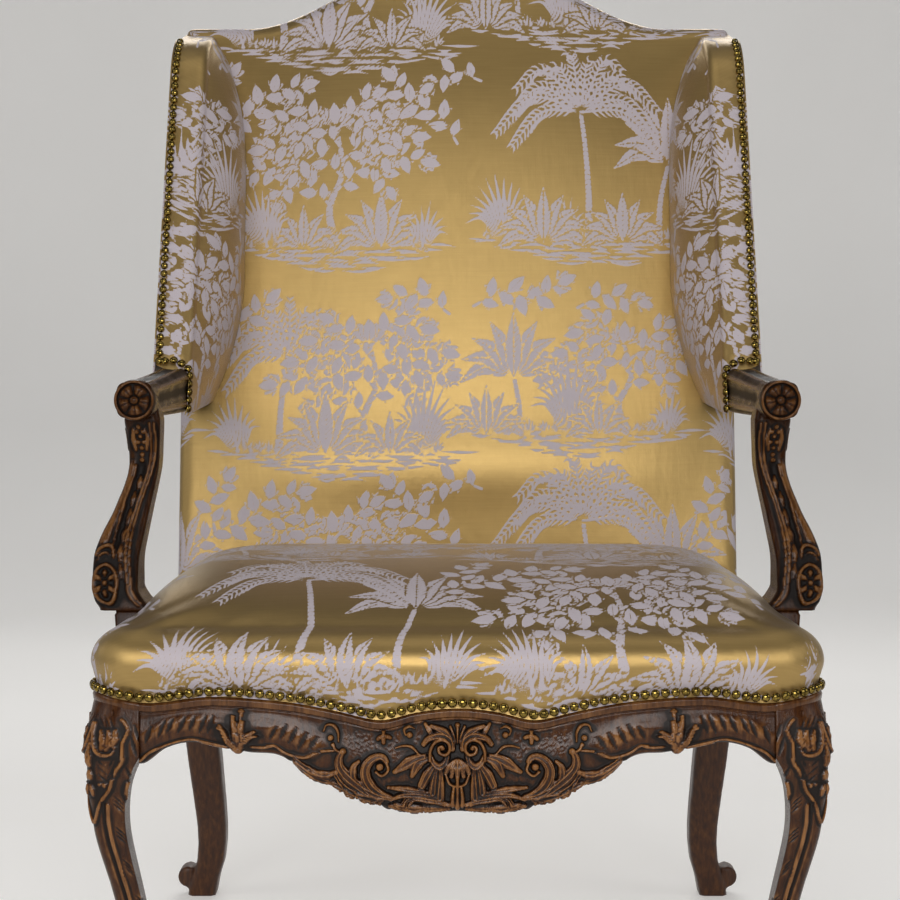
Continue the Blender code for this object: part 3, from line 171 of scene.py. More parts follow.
def setValue(piece, name, values):
    attribute = piece.data.attributes.new(name, "FLOAT", "POINT")
    attribute.data.foreach_set("value", np.asarray(values, np.float32).ravel())

def place(piece, slot, *nodes):
    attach(piece, "root")
    if nodes:
        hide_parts(*nodes)

def blur(field, reach, wrap=False):
    # box blur, run twice along both ways of a grid
    out = field
    for axis in (0, 1):
        for _ in range(2):
            mode = "wrap" if wrap and axis == 1 else "edge"
            width = [(reach, reach) if k == axis else (0, 0) for k in (0, 1)]
            total = np.cumsum(np.pad(out, width, mode=mode), axis=axis)
            total = np.concatenate([np.zeros_like(np.take(total, [0], axis)), total], axis=axis)
            n = 2 * reach + 1
            upper = np.take(total, range(n, total.shape[axis]), axis)
            lower = np.take(total, range(0, total.shape[axis] - n), axis)
            out = (upper - lower) / n
    return out

# Materials

colours = {"data_type": "RGBA", "out": 2}
times = {"data_type": "RGBA", "blend_type": "MULTIPLY", "out": 2}

def makeWalnut(name, carved, shade, gloss):
    # Waxed walnut: red brown on the flats, rubbed to a glossy orange brown on the ridges, partly real wear and partly
    # painted highlight, and near black in the hollows and on steep walls, which is painted shade
    material, tree, shader = newFinish(name)
    where = put(tree, "TexCoord", {"out": "Object"})
    # growth rings 3 to 5 mm apart, drawn out lengthwise, and pores of 0.3 mm
    ringSpace = put(tree, "Mapping", Vector=where, Scale=(1.0, 1.0, 0.16))
    rings = put(tree, "TexNoise", Vector=ringSpace, Scale=240.0, Detail=5.0, Roughness=0.6)
    cloud = put(tree, "TexNoise", Vector=where, Scale=34.0, Detail=4.0)
    poreSpace = put(tree, "Mapping", Vector=where, Scale=(1.0, 1.0, 0.08))
    pores = put(tree, "TexNoise", Vector=poreSpace, Scale=1500.0, Detail=2.0)
    tone = put(tree, "ValToRGB", {"stops": [(0.28, "#2e170a"), (0.5, "#4c2a11"), (0.72, "#67401d")]}, Fac=rings)
    if carved:
        # the attribute carries real rubbing on the crests together with painted highlight on them and painted shade in
        # the hollows
        wear = put(tree, "Attribute", {"attribute_name": "wear", "out": "Fac"})
        rubbedAndPaintedLight = put(tree, "Math", {"operation": "MULTIPLY_ADD"}, i0=cloud, i1=0.36, i2=wear)
        # painted highlight with real wear: the crests turn orange brown
        high = put(tree, "ValToRGB", {"stops": [(0.74, 0.0), (0.91, 0.55), (1.0, 1.0)]}, Fac=rubbedAndPaintedLight)
        low = put(tree, "ValToRGB", {"stops": [(0.45, 1.0), (0.69, 0.0)]}, Fac=rubbedAndPaintedLight)
        wornAndHighlightTone = put(tree, "ValToRGB", {"stops": [(0.3, "#6c4220"), (0.62, "#a67546")]}, Fac=rings)
        tone = put(tree, "Mix", colours, i0=high, i6=tone, i7=wornAndHighlightTone)
        # painted shade: the hollows and steep walls turn near black
        tone = put(tree, "Mix", colours, i0=low, i6=tone, i7=linear("#190d06"))
        rough = put(tree, "ValToRGB", {"stops": [(0.45, 0.52), (0.65, 0.24), (0.88, 0.10)]}, Fac=rubbedAndPaintedLight)
    else:
        rough = put(tree, "ValToRGB", {"stops": [(0.3, 0.44), (0.7, 0.30)]}, Fac=cloud)
    tone = put(tree, "Mix", times, i0=1.0, i6=tone, i7=(shade, shade * 0.96, shade * 0.90, 1.0))
    grain = put(tree, "Math", {"operation": "ADD"}, i0=rings, i1=pores)
    bump = put(tree, "Bump", Strength=0.16, Distance=0.0012, Height=grain)
    join(tree, shader, Base_Color=tone, Roughness=rough, IOR=1.5, Specular_IOR_Level=gloss, Normal=bump)
    return material

def makeBeech():
    # Bare planed beech: pale pinkish brown, matt, with short dark flecks 1 to 3 mm long
    material, tree, shader = newFinish("bareBeech")
    where = put(tree, "TexCoord", {"out": "Object"})
    stretched = put(tree, "Mapping", Vector=where, Scale=(0.1, 1.0, 1.0))
    grain = put(tree, "TexNoise", Vector=stretched, Scale=320.0, Detail=4.0)
    flecks = put(tree, "TexVoronoi", {"out": "Distance"}, Vector=stretched, Scale=520.0)
    tone = put(tree, "ValToRGB", {"stops": [(0.3, "#8d6a49"), (0.7, "#b48f68")]}, Fac=grain)
    mark = put(tree, "ValToRGB", {"stops": [(0.08, 0.55), (0.22, 1.0)]}, Fac=flecks)
    tone = put(tree, "Mix", times, i0=1.0, i6=tone, i7=mark)
    bump = put(tree, "Bump", Strength=0.15, Distance=0.0006, Height=grain)
    join(tree, shader, Base_Color=tone, Roughness=0.62, Normal=bump)
    return material

def waveScale(spacing):
    return 2 / (spacing * mm * 6.283)     # a wave texture's scale for threads that many millimetres apart

def makeBrocade():
    # Silk satin brocade: the gold ground floats on fine warps and shines in soft bands that run
    # across the cloth, the woven sprays are matt lilac silver and stand a little proud of it
    material, tree, shader = newFinish("satinBrocade")
    uv = put(tree, "UVMap", {"uv_map": "cloth"})
    drawn = put(tree, "Attribute", {"attribute_name": "design", "out": "Fac"})
    fray = put(tree, "TexNoise", Vector=uv, Scale=700.0, Detail=2.0)
    # the outline steps with the threads by about 0.4 mm
    edge = put(tree, "Math", {"operation": "MULTIPLY_ADD"}, i0=fray, i1=0.8, i2=drawn)
    edge = put(tree, "Math", {"operation": "ADD"}, i0=edge, i1=0.1)
    spray = put(tree, "ValToRGB", {"stops": [(0.36, 0.0), (0.64, 1.0)]}, Fac=edge)
    # satin threads lie 0.25 mm apart, drawn here at 0.9 mm so that they show
    warp = put(tree, "TexWave", {"bands_direction": "X", "out": "Fac"}, Vector=uv, Scale=waveScale(0.9),
               Distortion=0.6, Detail=1.0)
    weft = put(tree, "TexWave", {"bands_direction": "Y", "out": "Fac"}, Vector=uv, Scale=waveScale(1.1),
               Distortion=0.4, Detail=1.0)
    slubSpace = put(tree, "Mapping", Vector=uv, Scale=(18.0, 420.0, 1.0))
    slub = put(tree, "TexNoise", Vector=slubSpace, Scale=1.0, Detail=3.0)
    gold = put(tree, "ValToRGB", {"stops": [(0.3, "#a38753"), (0.7, "#a98d57")]}, Fac=slub)
    lilac = put(tree, "ValToRGB", {"stops": [(0.2, "#aca1a7"), (0.8, "#c0b7bb")]}, Fac=weft)
    tone = put(tree, "Mix", colours, i0=spray, i6=gold, i7=lilac)
    metal = put(tree, "MapRange", Value=spray, i3=0.85, i4=0.0)
    rough = put(tree, "MapRange", Value=spray, i3=0.39, i4=0.60)
    tangent = put(tree, "Tangent", {"direction_type": "UV_MAP", "uv_map": "cloth"})
    crossed = put(tree, "Math", {"operation": "MULTIPLY_ADD"}, i0=weft, i1=0.6, i2=warp)
    threads = put(tree, "Mix", {"data_type": "FLOAT"}, i0=spray, i2=crossed, i3=weft)
    raised = put(tree, "Math", {"operation": "MULTIPLY_ADD"}, i0=spray, i1=2.2, i2=threads)
    # stretched over hair, the cloth is never quite even: soft draw lines 15 mm across and 60 mm long
    drawSpace = put(tree, "Mapping", Vector=uv, Scale=(58.0, 15.0, 1.0))
    uneven = put(tree, "TexNoise", Vector=drawSpace, Scale=1.0, Detail=2.5, Roughness=0.55)
    hollows = put(tree, "Bump", Strength=1.0, Distance=0.0005, Height=uneven)
    bump = put(tree, "Bump", Strength=0.26, Distance=0.00025, Height=raised, Normal=hollows)
    join(tree, shader, Base_Color=tone, Metallic=metal, Roughness=rough, Anisotropic=0.45, Sheen_Weight=0.08,
         Tangent=tangent, Normal=bump)
    return material

def makeBrass():
    # Antiqued brass nail heads: rubbed yellow and brown-olive patina in patches of about 2 mm
    material, tree, shader = newFinish("antiqueBrass")
    where = put(tree, "TexCoord", {"out": "Object"})
    patina = put(tree, "TexNoise", Vector=where, Scale=420.0, Detail=3.0)
    tone = put(tree, "ValToRGB", {"stops": [(0.35, "#362b14"), (0.65, "#97803f")]}, Fac=patina)
    rough = put(tree, "ValToRGB", {"stops": [(0.35, 0.24), (0.7, 0.12)]}, Fac=patina)
    join(tree, shader, Base_Color=tone, Roughness=rough, Metallic=1.0)
    return material

def makeWeave(name, dark, pale, thread, rough):
    # Plain weave of coarse yarn: threads over and under, drawn at their real spacing
    material, tree, shader = newFinish(name)
    uv = put(tree, "UVMap", {"uv_map": "cloth"})
    warp, weft = [put(tree, "TexWave", {"bands_direction": way, "out": "Fac"}, Vector=uv, Scale=waveScale(thread),
                      Distortion=1.2, Detail=2.0) for way in "XY"]
    both = put(tree, "Math", {"operation": "MULTIPLY"}, i0=warp, i1=weft)
    hairs = put(tree, "TexNoise", Vector=uv, Scale=900.0, Detail=3.0)
    height = put(tree, "Math", {"operation": "MULTIPLY_ADD"}, i0=hairs, i1=0.5, i2=both)
    tone = put(tree, "ValToRGB", {"stops": [(0.2, dark), (0.85, pale)]}, Fac=height)
    bump = put(tree, "Bump", Strength=0.5, Distance=thread * mm * 0.3, Height=height)
    join(tree, shader, Base_Color=tone, Roughness=rough, Normal=bump)
    return material

carvedWalnut = makeWalnut("carvedWalnut", True, 0.74, 0.27)
plainWalnut = makeWalnut("plainWalnut", False, 0.85, 0.4)
handledWalnut = makeWalnut("handledWalnut", True, 0.43, 0.12)     # darkened by hands
bareBeech = makeBeech()
satinBrocade = makeBrocade()
antiqueBrass = makeBrass()
juteWebbing = makeWeave("juteWebbing", "#6b4f2c", "#b39160", 2.4, 0.85)
hessianCloth = makeWeave("hessianCloth", "#5d4a2c", "#a58a5a", 1.6, 0.9)
print("materials made")

# Carving: relief fields built from strokes, in millimetres

def trace(path, step=0.6):
    # smooth line through a few points, cut into short steps
    p = np.array(path, float)
    if len(p) == 1:
        return p
    run = np.concatenate([[0], np.cumsum(np.hypot(*np.diff(p, axis=0).T))])
    at = np.linspace(0, run[-1], max(2, int(run[-1] / step) + 1))
    t = np.arange(len(p), dtype=float)
    ends = np.concatenate([[2 * p[0] - p[1]], p, [2 * p[-1] - p[-2]]])
    share = np.interp(at, run, t)
    i = np.clip(share.astype(int), 0, len(p) - 2)
    f = (share - i)[:, None]
    a, b, c, d = ends[i], ends[i + 1], ends[i + 2], ends[i + 3]
    return 0.5 * (2 * b + (c - a) * f + (2 * a - 5 * b + 4 * c - d) * f ** 2 + (3 * b - a - 3 * c + d) * f ** 3)

def strokeOn(field, u, d, path, width, height, kind, taper):
    # lays one stroke on a relief field whose points are at u, d
    line = trace(path)
    pad = width * 1.1
    near = ((u > line[:, 0].min() - pad) & (u < line[:, 0].max() + pad)
            & (d > line[:, 1].min() - pad) & (d < line[:, 1].max() + pad))
    rows = np.nonzero(near)
    if not len(rows[0]):
        return
    points = np.stack([u[rows], d[rows]], axis=1)
    offsets = points[:, None, :] - line[None, :, :]
    squares = (offsets ** 2).sum(2)
    nearest = squares.argmin(1)
    away = np.sqrt(squares[np.arange(len(points)), nearest])
    t = nearest / max(1, len(line) - 1)
    if len(line) > 1:
        tangent = np.gradient(line, axis=0)
        tangent /= np.linalg.norm(tangent, axis=1)[:, None] + 1e-9
        o = offsets[np.arange(len(points)), nearest]
        hand = np.sign(tangent[nearest, 0] * o[:, 1] - tangent[nearest, 1] * o[:, 0])
    else:
        hand = np.ones(len(points))
    girth = width * np.interp(t, np.linspace(0, 1, len(taper)), taper)
    s = np.clip(away / girth, 0, 1)
    dome = np.sqrt(1 - s ** 2)
    rise = height * np.interp(t, [0, 0.5, 1], [0.75, 1.0, 0.75])
    if kind == "round":
        lift = rise * dome
    elif kind == "leaf":       # flutes with sharp ridges between them and a sunk middle vein
        flutes = 3 if width < 3.6 else 5
        lift = rise * dome * (0.66 + 0.34 * np.abs(np.cos(flutes * np.pi * s / 2)))
        lift *= 1 - 0.30 * np.exp(-(s / 0.14) ** 2)
    elif kind == "ruffle":     # lobed edge
        lobes = 0.80 + 0.20 * np.abs(np.sin(np.pi * t * max(2, len(line) * 0.6 / 6.5)))
        s = np.clip(s / lobes, 0, 1)
        lift = rise * np.sqrt(1 - s ** 2) * (0.75 + 0.25 * np.cos(3 * np.pi * s))
    else:                      # gouge
        field[rows] = np.minimum(field[rows], -rise * (1 - s) * np.where(s < 1, 1, 0))
        return
    lift = np.where(s < 1, lift, -1e9)
    field[rows] = np.maximum(field[rows], lift)

def relief(u, d, strokes):
    field = np.zeros_like(u)
    for kind, width, height, taper, *paths in strokes:
        for path in paths:
            strokeOn(field, u, d, path, width, height, kind, taper)
    return field

def carvedLoft(name, rings, lift, material, wearAndHighlightScale=0.42, extra=0.0):
    # closed sections (rows of points), raised along their own normals by the relief, with a fan over each end
    p = np.asarray(rings, float)
    rows, columns = p.shape[:2]
    around = np.roll(p, -1, axis=1) - np.roll(p, 1, axis=1)
    normal = np.cross(around, np.gradient(p, axis=0))
    normal /= np.linalg.norm(normal, axis=2)[:, :, None] + 1e-12
    flip = bool(((p - p.mean(axis=1)[:, None, :]) * normal).sum() < 0)
    p = p + (-normal if flip else normal) * (lift * mm)[:, :, None]
    faces = gridFaces(rows, columns, True)
    faces = (faces[:, ::-1] if flip else faces).tolist()
    points = np.concatenate([p.reshape(-1, 3), p[0].mean(axis=0)[None], p[-1].mean(axis=0)[None]])
    for row, turn in ((0, True), (rows - 1, False)):
        centre = len(points) - (2 if turn else 1)
        for k in range(columns):
            a, b = row * columns + k, row * columns + (k + 1) % columns
            faces.append([centre, b, a] if turn != flip else [centre, a, b])
    # rubbed where a crest stands above what is round it, with painted highlight on the crests, and painted shade in the
    # hollows and on steep walls
    near, wide = blur(lift, 1, True), blur(lift, 5, True)
    steep = np.hypot(np.gradient(near, axis=0), np.gradient(near, axis=1))
    crest = np.clip((near - wide) / 1.5, -0.9, 0.9) + np.clip((lift - blur(lift, 2, True)) / 0.5, -0.5, 0.5)
    wear = 0.5 + wearAndHighlightScale * crest - 0.30 * np.clip(steep - 0.35, 0, 1) + extra
    piece = newPiece(name, points, faces, material)
    # this attribute holds the wear together with the painted highlight and painted shade
    setValue(piece, "wear", np.concatenate([wear.ravel(), [0.5, 0.5]]))
    return piece

# Front rail: moulded lip, serpentine apron, shell in the middle, scrolls and sprigs

frontRail = dict(thickness=0.032, foot=0.010, fine=0.132, fineColumns=470, plainColumns=112, faceRows=136,
                 lobes=0.0034, raised=1.28, bold=dict(leaf=1.16, ruffle=1.12, round=1.08, gouge=1.0),
                 lip=[(0.0, 0.030), (0.040, 0.034), (0.075, 0.042), (0.115, 0.034), (0.165, 0.025),
                      (0.240, 0.0205), (0.307, 0.028), (0.336, 0.0245), (0.3665, 0.0205)],
                 apron=[(0.0, 0.1335), (0.030, 0.1335), (0.055, 0.1335), (0.080, 0.127), (0.106, 0.1185),
                        (0.123, 0.1095), (0.144, 0.1015), (0.158, 0.089), (0.178, 0.0785), (0.205, 0.0765),
                        (0.234, 0.071), (0.262, 0.0675), (0.288, 0.0735), (0.3145, 0.090)])
full, swell, thin = (1.0, 1.0, 1.0), (0.45, 1.0, 0.6), (0.4, 1.0, 0.3)
# kind, half width, height, width along the stroke, then paths of (span from the middle, drop)
railCarving = [
    ("leaf", 5.5, 4.2, (0.5, 1.0, 0.4), [(33, 78), (44, 82), (61.5, 93)], [(29, 80), (39, 85), (44.5, 97)]),
    ("leaf", 5.0, 4.6, (0.5, 1.0, 0.8), [(21.7, 85), (29, 95), (35, 107)]),
    ("leaf", 4.4, 5.2, (0.45, 0.8, 1.0), [(20.5, 90), (23, 102), (24.2, 114)], [(16.2, 89), (16.3, 100), (17.2, 119)]),
    ("round", 2.2, 6.4, (0.8, 1.0, 1.3), [(0, 97), (0, 109), (0, 127)], [(3.4, 106), (4.6, 116), (4.8, 125)]),
    ("leaf", 2.6, 6.6, (0.35, 1.0, 0.9), [(0, 80), (0, 90), (0, 99)], [(2.0, 80.5), (4.6, 89), (6.0, 97)],
        [(4.0, 81), (8.4, 87), (11.2, 93.5)]),
    ("round", 1.5, 6.0, full, [(11, 96), (7.6, 104), (0, 107.5)]),
    ("leaf", 4.2, 5.0, swell, [(26, 77), (23.5, 84), (17.5, 88), (12, 84), (9.5, 77)]),
    ("leaf", 4.8, 7.2, (0.8, 1.0, 0.5), [(6.2, 70), (7.2, 63.5), (11, 59.6), (17, 58), (23.5, 59), (29, 61.5),
        (33, 66)]),
    ("leaf", 3.8, 6.2, (0.8, 1.0, 0.6), [(5.4, 66), (8, 59), (13, 54), (19, 51), (25.5, 48.5)]),
    ("leaf", 2.8, 4.6, swell, [(21.7, 60), (26.7, 54), (31.5, 46)]),
    ("round", 1.3, 4.6, (0.6, 1.0, 1.2), [(1.9, 65), (3.2, 58), (7, 49)], [(0, 66), (0, 58), (0, 50)],
        [(3.6, 66), (7.5, 58), (13, 51)]),
    ("round", 2.6, 5.6, full, [(0, 47.5)]),
    ("round", 2.1, 7.0, (0.8, 1.0, 1.0, 0.9), [(27, 82), (26.6, 73), (22.5, 65), (15, 62), (8.6, 65.4), (7.8, 72),
        (12, 76), (17.2, 74.4), (18.4, 69.6), (14.8, 67.8)]),
    ("round", 2.6, 7.6, full, [(14.2, 70.2)]),
    ("round", 1.5, 3.0, thin, [(61, 70), (53, 68), (45, 69), (36.6, 76), (29, 74.6)]),
    ("round", 1.7, 3.4, thin, [(51, 57.5), (52.2, 52), (47.6, 48.8), (42, 51)]),
    ("round", 3.0, 4.4, full, [(47, 57.2)]),
    ("round", 2.6, 3.6, (0.7, 1.0, 0.8), [(72.6, 55), (72.6, 50)], [(74, 58), (78, 61.5)], [(71, 58), (66.5, 60)],
        [(72.6, 58), (72.6, 65)]),
    ("round", 1.8, 4.4, full, [(72.6, 57)]),
    ("leaf", 5.2, 6.0, (0.55, 0.9, 1.0, 0.5), [(70, 83), (73, 79.5), (78, 78.8), (85, 82), (90, 89), (89.4, 99),
        (84, 108.5), (75, 115), (66, 118)]),
    ("round", 1.5, 5.0, full, [(69.5, 84.5), (68, 91.5), (74, 96.5), (80, 93)]),
    ("round", 4.0, 6.6, full, [(76, 88)]),
    ("leaf", 4.0, 4.8, swell, [(96.8, 83), (101.5, 88), (102.4, 96), (99, 104)]),
    ("leaf", 5.6, 5.4, (0.5, 1.0, 0.9, 0.5), [(112.5, 73), (116, 80), (115, 89), (107, 99), (97, 107.5), (85, 115),
        (67, 119)]),
    ("round", 3.4, 5.6, full, [(112.5, 73.5)], [(118.8, 93.6)]),
    ("round", 2.0, 4.6, thin, [(116.7, 64), (117.3, 54.5), (122, 48), (128.5, 48), (131.5, 54)]),
    ("round", 2.9, 4.4, full, [(124.5, 60.5)]),
    ("round", 2.1, 3.6, full, [(122.5, 67)]),
    ("round", 1.5, 3.4, full, [(122, 66), (120, 71), (113.6, 75)]),
    ("ruffle", 5.0, 3.8, (0.5, 1.0, 0.7), [(160, 82), (152, 88.5), (143, 94), (127, 99)]),
    ("leaf", 4.0, 4.4, swell, [(146, 92), (135, 96), (125, 96), (119, 93)]),
    ("ruffle", 5.6, 4.6, (0.7, 1.0, 0.7), [(119, 94), (113.6, 103), (105, 110), (92.5, 116), (75, 120)]),
    ("leaf", 3.8, 5.6, swell, [(95, 102.5), (89, 111), (79, 117), (66.4, 119)]),
    ("leaf", 3.6, 4.2, thin, [(68, 108.7), (53, 110), (26.7, 113.5)]),
    ("leaf", 3.8, 4.8, swell, [(66, 121), (53, 116.3), (38, 116.3), (21.7, 119)]),
    ("ruffle", 4.0, 4.6, swell, [(62, 124.5), (54, 126.5), (50, 121), (44, 118.7)]),
    ("leaf", 3.6, 5.0, swell, [(47, 125.5), (41.6, 120.3), (28, 121.3), (8, 125.3)]),
    ("leaf", 3.4, 4.8, (0.9, 1.0, 0.5), [(217.3, 70.5), (219, 58), (221.6, 41)], [(219, 71), (226.6, 63), (234, 49.5)],
     [(215.4, 70.5), (213.5, 59), (211.5, 46)], [(213.5, 70.5), (209, 60.6), (200.5, 55)]),
    ("round", 2.6, 3.6, full, [(213, 35.5)]),
    ("round", 1.2, 3.0, full, [(213, 38), (214, 45), (216, 56)]),
    ("round", 5.2, 5.4, full, [(216.2, 73.0)]),
    ("round", 1.3, 2.2, full, [(187, 69), (179.5, 69), (171, 74.5), (162, 78), (150, 80), (137, 74.5), (128.5, 73),
        (118, 72.5)]),
    ("round", 1.3, 2.2, full, [(203, 70), (190.6, 70.5), (182, 69)]),
    ("round", 1.4, 2.4, full, [(315, 87), (304.5, 77.5), (290, 70.5), (275, 65.5), (262, 63.5), (249, 66), (236, 69),
        (226, 71)]),
    ("leaf", 4.4, 3.6, (0.5, 1.0, 0.8, 0.5), [(66, 127), (50, 129), (30, 129.5), (9, 129.5)]),
    ("ruffle", 4.4, 3.6, (0.6, 1.0, 0.8, 0.5), [(122, 105.5), (106, 114.5), (92, 120), (76, 125)]),
    ("leaf", 4.0, 3.2, (0.4, 1.0, 0.6), [(160, 84), (146, 95), (134, 101), (122, 105)]),
    ("round", 2.0, 4.4, (0.8, 1.0, 0.6), [(226, 60), (231, 53), (238, 51)], [(208, 66), (203, 60), (197, 59)]),
    ("gouge", 3.6, 1.1, thin, [(289, 46), (296, 62)], [(281, 44), (288, 58)], [(268.8, 42), (276, 57)],
        [(259, 41), (265, 55)],
     [(248, 40), (255, 57)], [(241, 40), (247, 57)], [(178, 50), (185, 62)], [(168, 48), (175, 62)],
     [(158, 51), (166, 66)],
     [(148, 56), (157, 72)], [(138, 60), (146, 71)], [(303, 52), (309, 68)]),
]

def railDepth(q, drop):
    # depth of a rail's face at a distance below the lip, for a face of that height
    same = np.ones_like(drop)
    knots = np.stack([0 * same, 0.004 * same, 0.0088 * same, 0.0104 * same, 0.0122 * same, 0.55 * drop,
                      drop - 0.008, drop - 0.002, drop], axis=-1)
    depths = (0.0004, -0.0014, -0.0010, 0.0036, 0.0028, -0.0012, 0.0005, 0.0022, 0.0060)
    out = np.zeros_like(q)
    for k in range(len(depths) - 1):
        a, b = knots[:, k, None], knots[:, k + 1, None]
        t = np.clip((q - a) / np.maximum(b - a, 1e-6), 0, 1)
        out = np.where(q >= a, mix(depths[k], depths[k + 1], t * t * (3 - 2 * t)), out)
    return out

def railSections(lip, lower, spec):
    # down the rebate and the face and up the back: depths, heights, where carving shows, distance below the lip
    count, rows, thick = len(lip), spec["faceRows"], spec["thickness"]
    q = (lower - lip)[:, None] * np.linspace(0, 1, rows)[None, :]
    back = np.array([[spec["foot"], 1.0], [thick, 1.0], [thick, 0.5], [thick, 0.0]])
    depths = np.concatenate([np.full((count, 2), plan["lipStep"]), railDepth(q, lower - lip),
                             np.broadcast_to(back[:, 0], (count, 4))], axis=1)
    rebate = np.stack([np.full(count, railTop), railTop - lip + 0.0002], axis=1)
    heights = np.concatenate([rebate, railTop - lip[:, None] - q, railTop - lower[:, None] * back[None, :, 1]], axis=1)
    shown = np.zeros_like(depths)
    toEdge = np.clip(((lower - lip)[:, None] - q) / mm / 1.5, 0.15, 1)
    shown[:, 2:2 + rows] = np.clip((q / mm - 11) / 2.5, 0, 1) * toEdge
    return depths, heights, shown, q

def makeFrontRail():
    spec = frontRail
    reach = seatHalf - plan["stile"] + 0.0006
    outer = np.linspace(-reach, -spec["fine"], spec["plainColumns"], endpoint=False)
    across = np.concatenate([outer, np.linspace(-spec["fine"], spec["fine"], spec["fineColumns"]), -outer[::-1]])
    out = np.abs(across) / mm
    # leaf ends make the lower edge scalloped
    lobes = np.abs(np.sin(np.pi * out / 16.0 + 0.5 * np.sin(out / 9.0))) - 0.64
    lobes = spec["lobes"] * lobes * np.clip((out - 5) / 8, 0, 1) * np.clip((172 - out) / 14, 0, 1)
    lower = smoothCurve(spec["apron"], np.abs(across)) + lobes
    depths, heights, onFace, q = railSections(smoothCurve(spec["lip"], np.abs(across)), lower, spec)
    x, y = planPoint(across[:, None] * np.ones_like(depths), depths)
    u = out[:, None] * np.ones_like(depths)
    lift = relief(u, (railTop - heights) / mm, [(kind, width * spec["bold"][kind], height * spec["raised"], *rest)
                                                for kind, width, height, *rest in railCarving])
    rng = np.random.default_rng(4)
    tool = blur(rng.normal(0, 1, lift.shape), 3) * 0.8
    punched = blur(rng.normal(0, 1, lift.shape), 1) * np.clip((118 - u) / 20, 0, 1)     # matted ground round the shell
    sunk = np.where(lift <= 0, -1.1 * np.clip((112 - u) / 24, 0, 1) + 0.30 * punched, 0)
    lift = (lift + sunk + tool * 0.35) * onFace
    lipBand = np.zeros_like(lift)
    lipBand[:, 2:2 + spec["faceRows"]] = 0.13 * (q / mm < 9.0)
    piece = carvedLoft("frontRailCarved", np.stack([x, y, heights], axis=2), lift, carvedWalnut, extra=lipBand)
    place(piece, "walnut", "front_rail")

makeFrontRail()
print("front rail carved")

# Front legs: cabriole, knee cartouche, beaded edges, hatched panel, scroll foot

frontLeg = dict(rows=340, around=150,
                shape=[(0.00, -0.0020, 0.042, 0.010), (0.04, -0.0040, 0.042, 0.010), (0.10, -0.0120, 0.036, 0.010),
                       (0.18, -0.0190, 0.031, 0.010), (0.30, -0.0160, 0.0285, 0.010), (0.43, -0.0080, 0.029, 0.010),
                       (0.59, 0.0045, 0.033, 0.010), (0.66, 0.0075, 0.035, 0.011), (0.73, 0.0082, 0.040, 0.013),
                       (0.795, 0.0055, 0.049, 0.018), (0.835, 0.0035, 0.059, 0.024), (0.90, 0.0025, 0.057, 0.032),
                       (1.00, 0.0, 0.052, 0.040)],
                scrollRadius=0.0150, scrollWidth=0.036, scrollReach=0.0165, scrollLift=0.019, scrollTurns=2)
legCarving = [
    ("round", 1.9, 3.2, (0.7, 1.0, 1.0, 0.9), [(332, 45), (328.7, 48.2), (325.3, 55), (328, 62), (330.6, 68.3),
        (331.2, 78),
     (331.6, 87), (338, 96), (342.3, 106), (345.4, 116), (352, 125), (356.4, 134), (358.5, 142), (361, 150)]),
    ("round", 2.0, 3.4, (0.8, 1.2, 0.5), [(359, 50), (361, 58), (360.5, 68), (358, 77), (352.5, 80.3), (345.7, 80.6),
        (341, 78), (338, 72)]),
    ("leaf", 4.2, 3.4, swell, [(353, 57), (351, 66), (352, 75)], [(345, 56), (344, 66), (347, 75)],
        [(338, 56), (338, 64), (341, 71)]),
    ("round", 2.6, 3.4, (0.5, 1.0, 0.8), [(365.5, 84), (365, 92)], [(364.5, 97), (364, 105)],
        [(363.5, 111), (361, 121)]),
    ("leaf", 3.6, 2.6, swell, [(356, 86), (354, 98), (355, 110)], [(346, 88), (348, 100), (350, 112)]),
    ("round", 1.4, 2.4, full, [(366, 126), (364, 142), (361.5, 150)]),
    ("round", 1.5, 2.6, full, [(309, 86), (316.7, 91.4), (321.7, 97.5), (325.5, 106), (328.7, 116), (328.4, 130),
        (327.4, 142.6),
     (327, 152.7), (325, 165), (325, 174), (322.6, 185.4), (319, 198), (318, 208), (315.4, 222), (312, 240), (309, 262),
     (308, 285), (309, 310)]),
    ("gouge", 2.2, 1.8, full, [(351.3, 130), (351.3, 149), (348.8, 166.5), (344.4, 185.4), (338.7, 208), (335, 222),
        (330, 245), (327, 270), (327, 300)]),
    ("round", 2.2, 1.4, full, [(347, 132), (346.5, 149), (344, 166), (339.6, 185), (334, 208), (330.4, 222), (326, 245),
        (323, 270), (322, 300)]),
    ("gouge", 1.3, 1.8, thin, [(341, 122), (331, 131)], [(341, 126), (331, 135)], [(341, 130), (331, 139)],
        [(339.5, 154), (329.5, 163)],
     [(339.5, 158), (329.5, 167)], [(339.5, 162), (329.5, 171)], [(334, 188), (325, 197)], [(333, 192), (324, 201)],
     [(332, 196), (323, 205)],
     [(323, 226), (315, 234)], [(322, 230), (314, 238)], [(321, 234), (313, 242)]),
    ("gouge", 2.4, 1.5, thin, [(319, 50), (314, 66)], [(322, 62), (317, 80)], [(328, 92), (323, 104)]),
    ("leaf", 3.4, 3.6, swell, [(364, 40), (366, 52), (363, 64)], [(362, 66), (366, 76), (364, 84)]),
    ("gouge", 1.2, 1.3, thin, [(356, 44), (350, 54)], [(350, 43), (345, 53)], [(344, 44), (340, 54)],
        [(358, 84), (350, 92)], [(357, 92), (348, 100)],
     [(356, 100), (347, 108)], [(340, 84), (346, 94)], [(341, 94), (347, 104)], [(318, 104), (324, 112)],
     [(320, 118), (326, 126)], [(320, 132), (325, 140)]),
]

